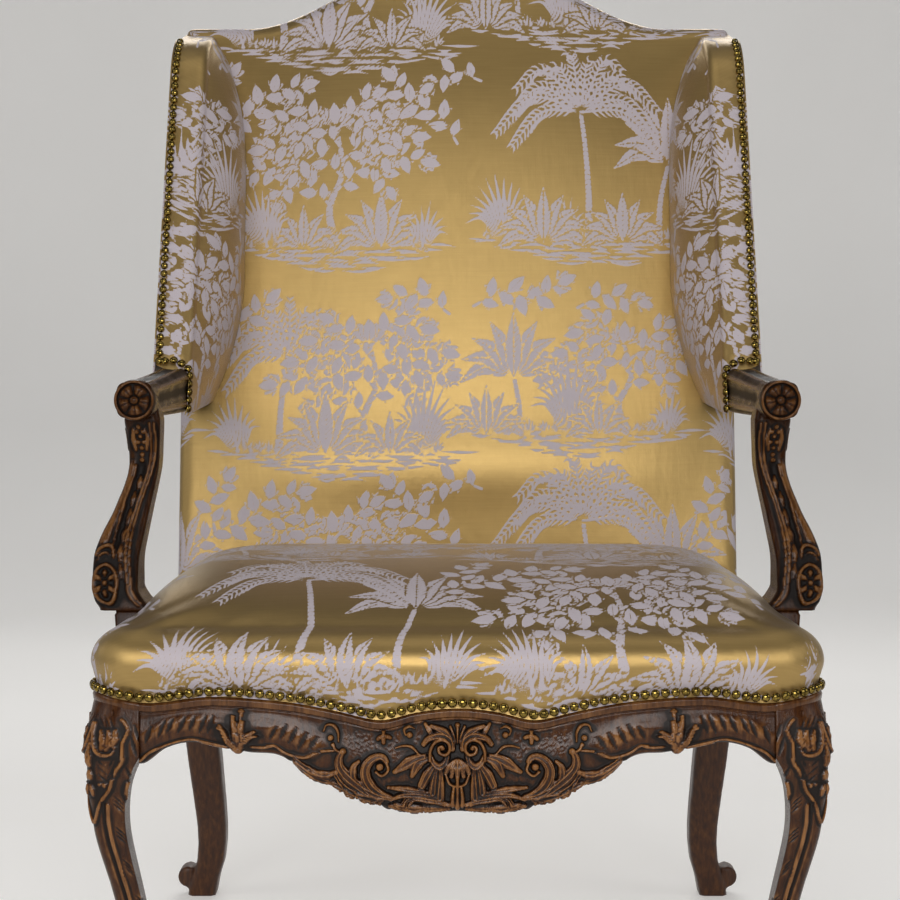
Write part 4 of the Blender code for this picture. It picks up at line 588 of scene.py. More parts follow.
def roundedRing(x0, x1, y0, y1, radii, steps, count=0):
    # rows of rounded rectangles: inner front corner first, then outer front, outer rear, inner rear, with their
    # points evenly spread where a count is given
    angles = np.linspace(0, np.pi / 2, steps + 1)
    xs, ys = [], []
    for x, y, sx, sy, start, radius in ((x0, y0, 1, 1, np.pi, radii[0]), (x1, y0, -1, 1, 1.5 * np.pi, radii[1]),
                                        (x1, y1, -1, -1, 0.0, radii[2]), (x0, y1, 1, -1, np.pi / 2, radii[3])):
        xs.append(x[:, None] + radius[:, None] * (sx + np.cos(start + angles)))
        ys.append(y[:, None] + radius[:, None] * (sy + np.sin(start + angles)))
    xs, ys = np.concatenate(xs, axis=1), np.concatenate(ys, axis=1)
    return evenRing(xs, ys, count) if count else (xs, ys)

def evenRing(x, y, count):
    # the same closed sections with evenly spread points
    x, y = np.concatenate([x, x[:, :1]], axis=1), np.concatenate([y, y[:, :1]], axis=1)
    run = np.concatenate([np.zeros((len(x), 1)), np.cumsum(np.hypot(np.diff(x, axis=1), np.diff(y, axis=1)), axis=1)],
            axis=1)
    at = np.linspace(0, 1, count, endpoint=False)
    outX, outY = np.empty((len(x), count)), np.empty((len(x), count))
    for k in range(len(x)):
        outX[k] = np.interp(at * run[k, -1], run[k], x[k])
        outY[k] = np.interp(at * run[k, -1], run[k], y[k])
    return outX, outY

def makeFrontLeg(label, side):
    spec, half, stile = frontLeg, seatHalf, plan["stile"]
    legLip = railTop - plan["sideLip"]
    share = np.linspace(1, 0, spec["rows"])
    push, thick, arris = smoothCurve(spec["shape"], share)
    middleX, middleY = half - stile / 2 + push, stile / 2 - push
    inner = np.maximum(middleX - thick / 2, half - stile)
    rear = np.where(share > 0.8, np.minimum(middleY + thick / 2, stile), middleY + thick / 2)
    small = np.where(share > 0.78, 0.0007, 0.003)
    outer, front = middleX + thick / 2, middleY - thick / 2
    x, y = roundedRing(inner, outer, front, rear, (small, arris, small, small), 24, spec["around"])
    z = (share * legLip)[:, None] * np.ones_like(x)
    p, q = outer[:, None] - x, y - front[:, None]
    # measured in from the arris, on the front and on the side alike
    u, d = (outer[:, None] - np.maximum(p, q)) / mm, (railTop - z) / mm
    tool = blur(np.random.default_rng(11).normal(0, 1, x.shape), 3, True) * 0.35
    shown = np.clip((0.012 - np.minimum(p, q)) / 0.004, 0, 1)
    lift = (relief(u, d, legCarving) + tool) * shown * np.clip((d - 27) / 4, 0, 1)
    px, py = planPoint(x, y)
    piece = carvedLoft("frontLegCarved" + label, np.stack([side * px, py, z], axis=2), lift, carvedWalnut)
    place(piece, "walnut", "front_leg_" + label.lower())
    # stile above the lip, as rings of a height and an inset, and the scroll of the foot
    sx, sy = [v[0] for v in roundedRing(*[np.array([v, v]) for v in (half - stile, half, 0.0, stile)],
                                        [np.full(2, r) for r in (0.003, plan["cornerRadius"], 0.003, 0.003)], 16)]
    cx, cy = half - stile / 2, stile / 2
    wave = np.where(sy < 0.5 * stile, railTop - smoothCurve(frontRail["lip"], np.minimum(sx, half)) - legLip, 0.0)
    rings = []
    for level, inset in ((legLip - 0.013, 0.0030), (legLip - 0.0098, 0.0002), (legLip - 0.0088, -0.0016),
                         (legLip - 0.004, -0.0022), (legLip, -0.0006), (legLip + 0.0003, 0.0036), (railTop, 0.0040)):
        shrink = 1 - inset / (stile / 2)
        px, py = planPoint(cx + (sx - cx) * shrink, cy + (sy - cy) * shrink)
        rings.append(np.stack([side * px, py, level + wave * (1 if level < railTop else 0)], axis=1))
    rings = np.stack(rings)
    place(carvedLoft("frontLegLip" + label, rings, np.zeros(rings.shape[:2]), carvedWalnut, extra=0.13), "walnut")
    reach = stile / 2 - spec["shape"][0][1] - spec["scrollReach"]
    cx, cy = planPoint(half - reach, reach)
    makeFootScroll(label, Vector((side * cx, cy, spec["scrollLift"])), Vector((side, 1, 0)).normalized())

def makeFootScroll(label, centre, axis):
    # drum with a spiral raised on both ends
    radius, width = frontLeg["scrollRadius"], frontLeg["scrollWidth"]
    across = axis.cross(Vector((0, 0, 1))).normalized()
    up = across.cross(axis).normalized()
    end = np.linspace(0.02, 0.94, 26)
    radii = np.concatenate([end, [1.0, 1.0, 0.96, 0.95, 0.96, 1.0, 1.0], np.linspace(0.94, 0.02, 26)]) * radius
    outs = np.concatenate([np.full(26, -0.5), [-0.44, -0.25, -0.12, 0.0, 0.12, 0.25, 0.44], np.full(26, 0.5)]) * width
    angle = np.linspace(0, 2 * np.pi, 72, endpoint=False)
    axes = [np.array(v) for v in (axis, across, up)]
    grid = (np.array(centre)[None, None] + outs[:, None, None] * axes[0]
            + radii[:, None, None] * (np.cos(angle)[None, :, None] * axes[1] + np.sin(angle)[None, :, None] * axes[2]))
    flat = (np.abs(np.abs(outs) / width - 0.5) < 0.01)[:, None]
    swirl = np.cos(2 * np.pi * frontLeg["scrollTurns"] * radii[:, None] / radius - angle[None, :])
    eye = np.clip(1 - radii / radius / 0.3, 0, 1)[:, None] * 1.6
    lift = np.where(flat, np.clip(swirl, -0.4, 1) * 1.3 + 1.0 + eye, 0.0)
    place(carvedLoft("frontFootScroll" + label, grid, lift, carvedWalnut), "walnut")

for sideLabel, sideSign in bothSides:
    makeFrontLeg(sideLabel, sideSign)
print("front legs carved")

# Arm supports: swept, with beads along the edges, a husk drop, leafy gouges and an oval rosette

armSupport = dict(rows=225, around=134, back=0.157, stump=dict(inset=0.021, width=0.0295, depth=0.058, top=0.047),
                  sections=[(0.0500, 0.0165, 0.157, 0.0540, 0.066), (0.0600, 0.0095, 0.157, 0.0510, 0.064),
                            (0.0730, 0.0050, 0.158, 0.0475, 0.062), (0.1044, 0.0055, 0.163, 0.0475, 0.055),
                            (0.1255, 0.0105, 0.168, 0.0450, 0.050), (0.1540, 0.0197, 0.176, 0.0370, 0.046),
                            (0.1940, 0.0301, 0.184, 0.0315, 0.042), (0.2250, 0.0307, 0.185, 0.0340, 0.042),
                            (0.2472, 0.0295, 0.183, 0.0380, 0.044)])
# span is millimetres in from the outer edge of the front face, drop is millimetres below the arm
supportCarving = [
    ("round", 1.5, 2.6, full, [(27, 4), (25, 30), (21.5, 60), (22.5, 90), (28, 118), (33, 138), (36, 160), (38, 178),
        (43, 192)]),
    ("round", 1.3, 2.4, full, [(31.5, 4), (29, 30), (25, 60), (26, 90), (32, 118), (37, 138), (40, 160), (42, 178),
        (47, 190)]),
    ("round", 1.6, 2.4, (0.6, 1.0, 1.0), [(9, 48), (8, 70), (9.5, 92), (14, 112), (18, 130)]),
    ("leaf", 3.4, 2.2, swell, [(15, 60), (17, 72)], [(15, 76), (17.5, 90)], [(18, 94), (21.5, 108)],
        [(22.5, 112), (26, 126)],
     [(26, 130), (29, 146)], [(29, 150), (31, 164)]),
    ("round", 2.6, 3.6, full, [(15, 8)], [(11.5, 13)], [(18.5, 13)], [(15, 18)], [(12, 24)], [(18, 24)], [(15, 30)],
        [(15, 37)], [(14.5, 43)]),
    ("leaf", 3.0, 2.8, swell, [(9, 10), (7.5, 20), (9, 32)], [(21, 10), (22, 20), (20, 32)]),
    ("round", 2.2, 3.8, (0.6, 1.0, 0.6), [(3, 141), (6, 134), (13, 131), (19, 134), (22, 143)]),
    ("round", 1.5, 3.0, thin, [(5, 146), (8, 140), (13, 138), (17.5, 141)]),
    ("round", 2.0, 4.2, full, [(14, 150), (20, 153), (25, 160), (26.5, 169), (25, 179), (20, 187), (14, 190), (8, 187),
        (4, 179),
     (2.5, 169), (4, 160), (8, 153), (14, 150)]),
    ("round", 3.4, 5.0, full, [(14, 169)]),
    ("round", 3.2, 4.2, (0.7, 1.0, 0.7), [(14, 161), (14, 157)], [(19, 165), (22, 162)], [(19, 173), (22, 177)],
        [(14, 177), (14, 182)],
     [(9, 173), (6, 177)], [(9, 165), (6, 162)]),
]

def makeArmSupport(label, side):
    spec = armSupport
    table = np.array(spec["sections"])
    height = np.linspace(table[-1, 0] + 0.011, table[0, 0], spec["rows"])      # its head goes up into the arm
    inset, back, width, depth = smoothCurve(spec["sections"], np.minimum(height, table[-1, 0]))
    narrowing = 0.4 * np.maximum(0, height - table[-1, 0])
    width, depth = width - narrowing, depth - narrowing
    middle = sideLine(spec["back"]) - inset
    edge = np.full(len(height), 0.008)
    face = (back - depth / 2)[:, None]
    x, y = roundedRing(middle - width / 2, middle + width / 2, back - depth / 2, back + depth / 2, (edge,) * 4, 16,
                       spec["around"])
    z = (railTop + height)[:, None] * np.ones_like(x)
    p = (middle + width / 2)[:, None] - x
    u = p / mm
    d = (table[-1, 0] - height)[:, None] / mm * np.ones_like(x)
    lift = relief(u, d, supportCarving)
    t = u * mm / width[:, None]
    stem = np.clip((d - 42) / 8, 0, 1) * np.clip((136 - d) / 10, 0, 1)
    rounded = (2.2 * np.sqrt(np.clip(1 - ((t - 0.12) / 0.15) ** 2, 0, 1))
               - 1.9 * np.clip(1 - ((t - 0.46) / 0.15) ** 2, 0, 1))
    lift = lift + stem * np.where(lift > 0, 0.4 * rounded, rounded)
    facing = np.clip((face + 0.006 - y) / 0.005, 0, 1)
    # the outer side carries the leaves too, turned round the corner
    onSide = np.clip((0.006 - p) / 0.005, 0, 1) * np.clip((y - face - 0.004) / 0.004, 0, 1)
    sideLift = relief((y - face) / mm, d, [s for s in supportCarving if s[0] == "leaf"])
    tool = blur(np.random.default_rng(21).normal(0, 1, lift.shape), 3, True) * 0.3
    lift = lift * facing + 0.7 * sideLift * onSide + tool * np.maximum(facing, onSide)
    rings = np.stack([side * x, frontLine + y, z], axis=2)
    piece = carvedLoft("armSupportCarved" + label, rings, lift, handledWalnut, wearAndHighlightScale=0.36)
    place(piece, "walnut", "arm_support_" + label.lower())
    stump = spec["stump"]
    cx, cy = sideLine(spec["back"]) - stump["inset"], spec["back"]
    levels = np.array([stump["top"] + 0.003, stump["top"], stump["top"] - 0.002, 0.02, 0.0003])
    grow = np.array([0.0, 0.0, 0.0012, 0.0, 0.0])
    x, y = roundedRing(cx - stump["width"] / 2 - grow, cx + stump["width"] / 2 + grow, cy - stump["depth"] / 2 - grow,
                       cy + stump["depth"] / 2 + grow, (np.full(5, 0.003),) * 4, 6)
    rings = np.stack([side * x, frontLine + y, (railTop + levels)[:, None] * np.ones_like(x)], axis=2)
    place(carvedLoft("armSupportBase" + label, rings, np.zeros_like(x), handledWalnut), "walnut")

# Arms: moulded rail from the scroll to the rear post

arm = dict(rows=190, around=96, inset=0.0262, wingLine=0.372, wingInset=0.0219, recline=math.radians(9.5),
           sections=[(0.136, 0.2680, 0.037, 0.037), (0.175, 0.2680, 0.038, 0.038), (0.230, 0.2690, 0.036, 0.041),
                     (0.300, 0.2710, 0.034, 0.046), (0.372, 0.2730, 0.034, 0.050), (0.640, 0.2730, 0.034, 0.050)],
           edge=0.009, scrollRadius=0.0215, scrollLength=0.048, scrollProud=0.004)
lean, rise = math.sin(arm["recline"]), math.cos(arm["recline"])
postOuter = plan["rearWidth"] / 2
backLine = plan["depth"] + 0.020
backHalf = postOuter + clothGap + 0.0016
wingOuter = backHalf

def backPoint(across, forward, up):
    return np.stack(np.broadcast_arrays(across, frontLine + backLine + up * lean - forward * rise,
            railTop + up * rise + forward * lean), axis=-1)

def backDepth(height, forward):
    up = (height - railTop - forward * lean) / rise
    return backLine + up * lean - forward * rise

def armLine(back):
    front = armSupport["back"]
    share = np.clip((back - front) / (arm["wingLine"] - front), 0, 1)
    return mix(sideLine(front) - arm["inset"], wingOuter - arm["wingInset"], share)

def makeArm(label, side):
    spec = arm
    start = spec["sections"][0][0]
    end = backDepth(railTop + spec["sections"][-1][1], 0.020)
    back = np.linspace(start, end, spec["rows"])
    height, width, depth = smoothCurve(spec["sections"], back)
    middle, level = armLine(back), railTop + height
    edge = np.full(len(back), spec["edge"])
    x, z = roundedRing(middle - width / 2, middle + width / 2, level - depth / 2, level + depth / 2, (edge,) * 4, 16,
                       spec["around"])
    share = np.linspace(0, 1, len(back))[:, None]
    y = mix(start, backDepth(z, 0.0203), share)
    # a flat hollow along both sides, with a bead below it and one along the upper edges
    rel = (z - level[:, None]) / depth[:, None]
    lateral = np.clip((np.abs(x - middle[:, None]) - width[:, None] * 0.40) / 0.002, 0, 1)
    lift = lateral * (-1.4 * np.exp(-((rel - 0.02) / 0.16) ** 2) + 1.3 * np.exp(-((rel + 0.30) / 0.055) ** 2)
                      + 0.9 * np.exp(-((rel - 0.30) / 0.05) ** 2))
    onTop = np.clip((rel - 0.44) / 0.05, 0, 1)
    across = (x - middle[:, None]) / width[:, None]
    lift = lift + onTop * (1.0 * np.exp(-((np.abs(across) - 0.27) / 0.05) ** 2) - 0.7 * np.exp(-(across / 0.16) ** 2))
    lift = lift * np.clip((share - 0.06) / 0.05, 0, 1)
    piece = carvedLoft("armCarved" + label, np.stack([side * x, frontLine + y, z], axis=2), lift, handledWalnut)
    place(piece, "walnut", "arm_" + label.lower())
    makeArmScroll(label, side, Vector((side * middle[0], frontLine + start, level[0])))

def makeArmScroll(label, side, centre):
    # the scroll's drum, its rolled rim and a five-petalled flower on its end
    radius, length, proud = arm["scrollRadius"], arm["scrollLength"], arm["scrollProud"]
    outs = np.concatenate([[length - proud], np.linspace(length - proud - 0.002, 0.006, 24),
            [0.002, 0.0, -0.002, -0.0035, -0.004], np.full(44, -0.004)])
    radii = np.concatenate([[0.72], np.linspace(0.76, 1.0, 24) ** 0.5, [1.0, 0.985, 0.96, 0.91, 0.86],
            np.linspace(0.85, 0.01, 44)]) * radius
    angle = np.linspace(0, 2 * np.pi, 120, endpoint=False)
    x = centre.x + radii[:, None] * np.cos(angle)[None, :] * side
    z = centre.z + radii[:, None] * np.sin(angle)[None, :]
    y = centre.y + outs[:, None] * np.ones_like(x)
    r = radii[:, None] / radius * np.ones_like(x)
    flat = (outs <= -0.0035)[:, None]
    rim = 1.6 * np.exp(-((r - 0.90) / 0.055) ** 2)
    hollow = -2.2 * np.clip((0.84 - r) / 0.06, 0, 1)
    petal = np.abs(np.cos(2.5 * (angle[None, :] + 0.4)))
    flower = 3.6 * np.clip(1 - ((r - 0.50) / 0.27) ** 2, 0, 1) ** 0.6 * petal ** 0.7
    vein = -0.9 * np.exp(-((r - 0.5) / 0.25) ** 2) * np.exp(-((1 - petal) / 0.03))
    eye = 4.2 * np.sqrt(np.clip(1 - (r / 0.22) ** 2, 0, 1))
    lift = np.where(flat, rim + hollow + np.maximum(flower + vein, eye), 0.0)
    along = np.clip((outs - 0.008) / (length - 0.02), 0, 1)[:, None]
    flutes = 0.7 * np.cos(10 * angle)[None, :] * np.sin(np.pi * along)
    lift = lift + np.where(outs[:, None] > 0.004, flutes, 0)
    place(carvedLoft("armScroll" + label, np.stack([x, y, z], axis=2), lift, handledWalnut, wearAndHighlightScale=0.24), "walnut")

# Side rails: the moulded lip runs on, with a shaped lower edge

sideRail = dict(thickness=0.042, foot=0.012, rows=240, faceRows=60,
                apron=[(0.0, 0.076), (0.18, 0.060), (0.36, 0.066), (0.50, 0.082), (0.64, 0.066), (0.82, 0.058),
                    (1.0, 0.062)])
sideCarving = [
    ("leaf", 5.0, 4.0, swell, [(0, 74), (0, 60), (0, 46)], [(6, 74), (12, 62), (13, 50)],
        [(11, 73), (24, 66), (30, 54)]),
    ("round", 3.0, 4.6, full, [(0, 42)], [(33, 51)]),
    ("leaf", 4.6, 3.4, thin, [(14, 76), (40, 70), (62, 62)], [(36, 58), (58, 55), (84, 56)]),
    ("round", 1.3, 2.2, full, [(60, 69), (90, 62), (130, 58.5), (170, 57.5), (200, 56), (240, 58)]),
    ("gouge", 2.4, 1.5, thin, [(100, 40), (108, 54)], [(116, 40), (124, 54)], [(132, 40), (140, 54)],
        [(148, 40), (156, 54)]),
]

def makeSideRail(label, side):
    spec = sideRail
    start, end = plan["stile"] + clothGap, plan["depth"] - clothGap
    back = np.linspace(start, end, spec["rows"])
    lower = smoothCurve(spec["apron"], (back - start) / (end - start))
    depths, heights, shown, _ = railSections(np.full(len(back), plan["sideLip"]), lower, spec)
    x, y = planPoint(seatHalf - depths, back[:, None] * np.ones_like(depths))
    u = np.abs(back - (start + end) / 2)[:, None] / mm * np.ones_like(depths)
    lift = relief(u, (railTop - heights) / mm, sideCarving)
    lift = (lift + blur(np.random.default_rng(31).normal(0, 1, lift.shape), 3) * 0.3) * shown
    piece = carvedLoft("sideRailCarved" + label, np.stack([side * x, y, heights], axis=2), lift, carvedWalnut)
    place(piece, "walnut", "side_rail_" + label.lower())

for sideLabel, sideSign in bothSides:
    makeArmSupport(sideLabel, sideSign)
    makeArm(sideLabel, sideSign)
    makeSideRail(sideLabel, sideSign)
print("arms, supports and side rails carved")

# Plain timbers: the solids' own shapes with their arrises rubbed round

plainTimbers = dict(voxel=0.0027, rubs=2, show=("rear_post_left", "rear_post_right", "back_seat_rail"),
                    hidden=("lower_back_rail", "crest_rail", "corner_block_front_left", "corner_block_front_right",
                            "corner_block_rear_left", "corner_block_rear_right", "wing_post_left", "wing_post_right",
                            "wing_top_rail_left", "wing_top_rail_right"))

def rubbedTimber(node):
    words = node.split("_")
    piece = linked(words[0] + "".join(w.capitalize() for w in words[1:]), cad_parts[node].data.copy())
    weld = piece.modifiers.new("weld", "WELD")
    weld.merge_threshold = 0.00002
    remesh = piece.modifiers.new("even", "REMESH")
    remesh.mode, remesh.voxel_size = "VOXEL", plainTimbers["voxel"]
    smooth = piece.modifiers.new("rub", "SMOOTH")
    smooth.factor, smooth.iterations = 0.5, plainTimbers["rubs"]
    plain = settled(piece)
    plain.materials.clear()
    plain.materials.append(plainWalnut)
    plain.shade_smooth()
    place(piece, "walnut", node)

for node in plainTimbers["show"]:
    rubbedTimber(node)
for node in plainTimbers["hidden"]:
    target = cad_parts[node]
    target.data.materials.clear()
    target.data.materials.append(bareBeech)
print("plain timbers done")

# Cloth design: palms, leafy trees and reeds on banks of turf, drawn once on a tile and read at each point

design = dict(width=0.62, height=0.52, step=0.001, seed=7, halo=1.4,
              sprays=[(25, (290, 168), (318, 196), (356, 208), (384, 236), (420, 244)),
                      (23, (318, 196), (312, 232), (330, 258)), (25, (620, 168), (596, 206), (560, 222), (540, 250)),
                      (25, (284, 440), (316, 466), (352, 462), (380, 484)),
                      (22, (316, 466), (310, 494), (326, 516)), (22, (30, 250), (-4, 262), (-30, 246)),
                      (25, (20, 480), (56, 498), (96, 490), (126, 508)), (23, (610, 470), (576, 494), (540, 490)),
                      (22, (150, 478), (184, 494), (226, 486))])

class ClothTile:
    def __init__(self, spec):
        self.w, self.h = int(spec["width"] / spec["step"]), int(spec["height"] / spec["step"])
        self.field = np.full((self.h, self.w), -3.0)

    def blade(self, path, width, taper=(0.25, 1.0, 0.15), vein=0.0, halo=0.0, cut=False):
        # one stroke, in millimetres; the ground shows along its vein, and in a line round it if it has a halo
        line = trace(path, 1.0)
        pad = width + halo + 3
        lo, hi = np.floor(line.min(0) - pad).astype(int), np.ceil(line.max(0) + pad).astype(int)
        xs, ys = np.meshgrid(np.arange(lo[0], hi[0]), np.arange(lo[1], hi[1]))
        flat = np.stack([xs.ravel(), ys.ravel()], axis=1).astype(float)
        squares = ((flat[:, None, :] - line[None]) ** 2).sum(2)
        nearest = squares.argmin(1)
        away = np.sqrt(squares[np.arange(len(flat)), nearest])
        girth = width * np.interp(nearest / max(1, len(line) - 1), np.linspace(0, 1, len(taper)), taper)
        inside = girth - away
        rows, columns = ys.ravel() % self.h, xs.ravel() % self.w
        if cut:
            np.minimum.at(self.field, (rows, columns), -inside)
            return
        if halo:
            np.minimum.at(self.field, (rows, columns), np.maximum(-3, -inside - halo))
        if vein:
            inside = np.minimum(inside, np.where(girth > 2.2 * vein, (away - vein) * 1.5, inside))
        np.maximum.at(self.field, (rows, columns), inside)

    def at(self, u, v):
        # bilinear, repeating
        x, y = (u / design["step"]) % self.w, (v / design["step"]) % self.h
        x0, y0 = np.floor(x).astype(int), np.floor(y).astype(int)
        fx, fy = x - x0, y - y0
        x0, y0 = x0 % self.w, y0 % self.h
        x1, y1 = (x0 + 1) % self.w, (y0 + 1) % self.h
        f = self.field
        return ((f[y0, x0] * (1 - fx) + f[y0, x1] * fx) * (1 - fy) + (f[y1, x0] * (1 - fx) + f[y1, x1] * fx) * fy)

def turned(point, angle, length):
    return (point[0] + length * math.cos(angle), point[1] + length * math.sin(angle))

def headingAt(line, i):
    return math.atan2(*(line[min(i + 2, len(line) - 1)] - line[max(0, i - 1)])[::-1])

def outsideIn(count):
    # the places of a fan, from -1 to 1, the outer ones first so that the middle lies on top
    return [2 * k / (count - 1) - 1 for k in sorted(range(count), key=lambda k: -abs(2 * k - count + 1))]

def leafAt(tile, base, angle, size, bend):
    middle = turned(base, angle + bend, size * 0.5)
    tip = turned(middle, angle - bend, size * 0.5)
    tile.blade([base, middle, tip], size * 0.26, (0.2, 1.0, 0.8, 0.1), 0.5, design["halo"])

def cluster(tile, rng, point, heading, leaf, count, spread):
    # leaves that fan out of one bud, the middle one last and on top
    for share in outsideIn(count):
        leafAt(tile, point, heading + share * spread + rng.uniform(-0.12, 0.12), leaf * (1.05 - 0.3 * abs(share)),
                bend=-0.25 * share)

def bough(tile, rng, path, leaf, spacing):
    # a twig with pairs of small fans
    line = trace(path, 1.0)
    tile.blade(path, 1.4, (1.4, 1.0, 0.5), 0.0, 1.0)
    for k, i in enumerate(range(int(spacing), len(line) - 2, int(spacing))):
        hand = 1 if k % 2 else -1
        cluster(tile, rng, line[i], headingAt(line, i) + hand * 0.85,
                leaf * (0.75 + 0.35 * math.sin(math.pi * i / len(line))), 3, 0.6)
    cluster(tile, rng, line[-1], headingAt(line, len(line) - 3), leaf, 5, 1.0)

def trunk(tile, path, width, ring):
    # bark is cut across in short curves
    tile.blade(path, width, (1.5, 1.0, 0.85, 0.7), 0.0, 1.6)
    line = trace(path, 1.0)
    for i in range(5, len(line) - 3, ring):
        heading = headingAt(line, i)
        ends = [turned(line[i], heading + hand * 1.75, width * 0.95) for hand in (1, -1)]
        tile.blade([ends[0], turned(line[i], heading, 1.0), ends[1]], 0.6, (1.0, 1.0), cut=True)
    return line

def swept(root, hand, reach, *shares):
    # a line from its root through shares of the reach, out to one hand and up
    return [root] + [(root[0] + hand * reach * out, root[1] + reach * up) for out, up in shares]

def leafyTree(tile, rng, base, height, spread, count, leaf):
    x, y = base
    line = trunk(tile, [base, (x - 9, y + height * 0.3), (x + 7, y + height * 0.62), (x - 2, y + height)], 4.2, 5)
    for k in range(count):
        share = 0.34 + 0.62 * k / (count - 1)
        start, hand = line[int(share * (len(line) - 1))], 1 if k % 2 else -1
        reach = spread * (1.15 - 0.6 * share) * rng.uniform(0.9, 1.1)
        path = swept(start, hand, reach, (0.5, 0.42), (1.0, 0.36))
        bough(tile, rng, path, leaf, 11)
        twig = trace(path, 1.0)[int(reach * 0.5)]
        bough(tile, rng, swept(twig, hand, reach, (0.16, 0.24), (0.34, 0.34)), leaf * 0.9, 10)
        bough(tile, rng, swept(twig, hand, reach, (0.14, -0.12), (0.22, -0.30)), leaf * 0.9, 10)
    cluster(tile, rng, line[-1], math.pi / 2, leaf * 1.1, 7, 1.5)

def frond(tile, path, leaflet, spacing):
    # fine leaflets hang from both sides of an arching rib
    line = trace(path, 1.0)
    tile.blade(path, 1.2, (1.3, 1.0, 0.5), 0.0, 1.2)
    for i in range(int(len(line) * 0.12), len(line) - 1, spacing):
        heading, share = headingAt(line, i), i / len(line)
        size = leaflet * (0.5 + 0.7 * math.sin(math.pi * min(1.0, 0.10 + 0.86 * share)))
        for hand in (-1, 1):
            tip = turned(line[i], heading + hand * 0.62, size)
            tile.blade([line[i], turned(line[i], heading + hand * 0.85, size * 0.5), (tip[0], tip[1] - size * 0.22)],
                    1.3, (0.9, 1.0, 0.35))

def palm(tile, base, height, lean, reach, count):
    top = (base[0] + lean, base[1] + height)
    trunk(tile, [base, (base[0] + lean * 0.1, base[1] + height * 0.4), (base[0] + lean * 0.5, base[1] + height * 0.75),
            top], 4.0, 6)
    for k in range(count):
        a = math.pi * (1.10 - 1.20 * k / (count - 1))
        far = reach * (0.86 + 0.14 * (k % 2))
        middle = (top[0] + far * 0.55 * math.cos(a), top[1] + far * (0.52 * math.sin(a) + 0.15))
        frond(tile, [top, middle, (top[0] + far * math.cos(a),
                top[1] + far * (0.74 * math.sin(a) - 0.30 * abs(math.cos(a))))], 14, 7)

def broadTree(tile, base, height, lean, leaf, count):
    # wide drooping leaves with cut side veins
    top = (base[0] + lean, base[1] + height)
    if height:
        trunk(tile, [base, (base[0] + lean * 0.2, base[1] + height * 0.5), top], 3.8, 6)
    for share in outsideIn(count):
        a = math.pi / 2 - share * 1.5
        far, girth = leaf * (1 - 0.16 * abs(share)), leaf * 0.125
        middle = turned(top, a + share * 0.22, far * 0.55)
        tip = turned(top, a - share * 0.08, far)
        path = [top, middle, (tip[0], tip[1] - far * 0.12 * abs(share))]
        tile.blade(path, girth, (0.14, 0.9, 1.0, 0.65, 0.08), 0.7, 1.7)
        line = trace(path, 1.0)
        for i in range(int(len(line) * 0.2), int(len(line) * 0.92), 6):
            for hand in (-1, 1):
                tile.blade([line[i], turned(line[i], headingAt(line, i) + hand * 0.7, girth * 1.5)], 0.55, (0.8, 1.0),
                        cut=True)

def reeds(tile, base, angle, length, count, width, spread=0.8):
    # arching blades
    for share in outsideIn(count):
        a, reach = angle - share * spread, length * (1 - 0.30 * abs(share))
        root, tip = (base[0] + share * count * 0.7, base[1]), turned(base, a, reach)
        tile.blade([root, turned(root, a + share * 0.30, reach * 0.55), (tip[0], tip[1] - abs(share) * length * 0.16)],
                width, (0.6, 1.0, 0.2), 0.0, 1.1)

def turf(tile, rng, centre, width, rows):
    # broken strokes of ground, with short grass along the top
    for k in range(rows):
        y, half = centre[1] - k * 4.4, width / 2 * (1 - 0.11 * k)
        x = centre[0] - half + rng.uniform(-8, 8)
        while x < centre[0] + half:
            run = rng.uniform(16, 52)
            tile.blade([(x, y + rng.uniform(-1, 1)), (x + run / 2, y + rng.uniform(-3, 3)),
                    (x + run, y + rng.uniform(-1, 1))], 1.9, (0.4, 1.0, 0.4), 0.0, 0.8)
            x += run + rng.uniform(2, 6)
    for x in np.arange(centre[0] - width * 0.42, centre[0] + width * 0.42, 13):
        reeds(tile, (x + rng.uniform(-4, 4), centre[1]), math.pi / 2 + rng.uniform(-0.25, 0.25), rng.uniform(13, 24), 5,
                1.25, 0.75)

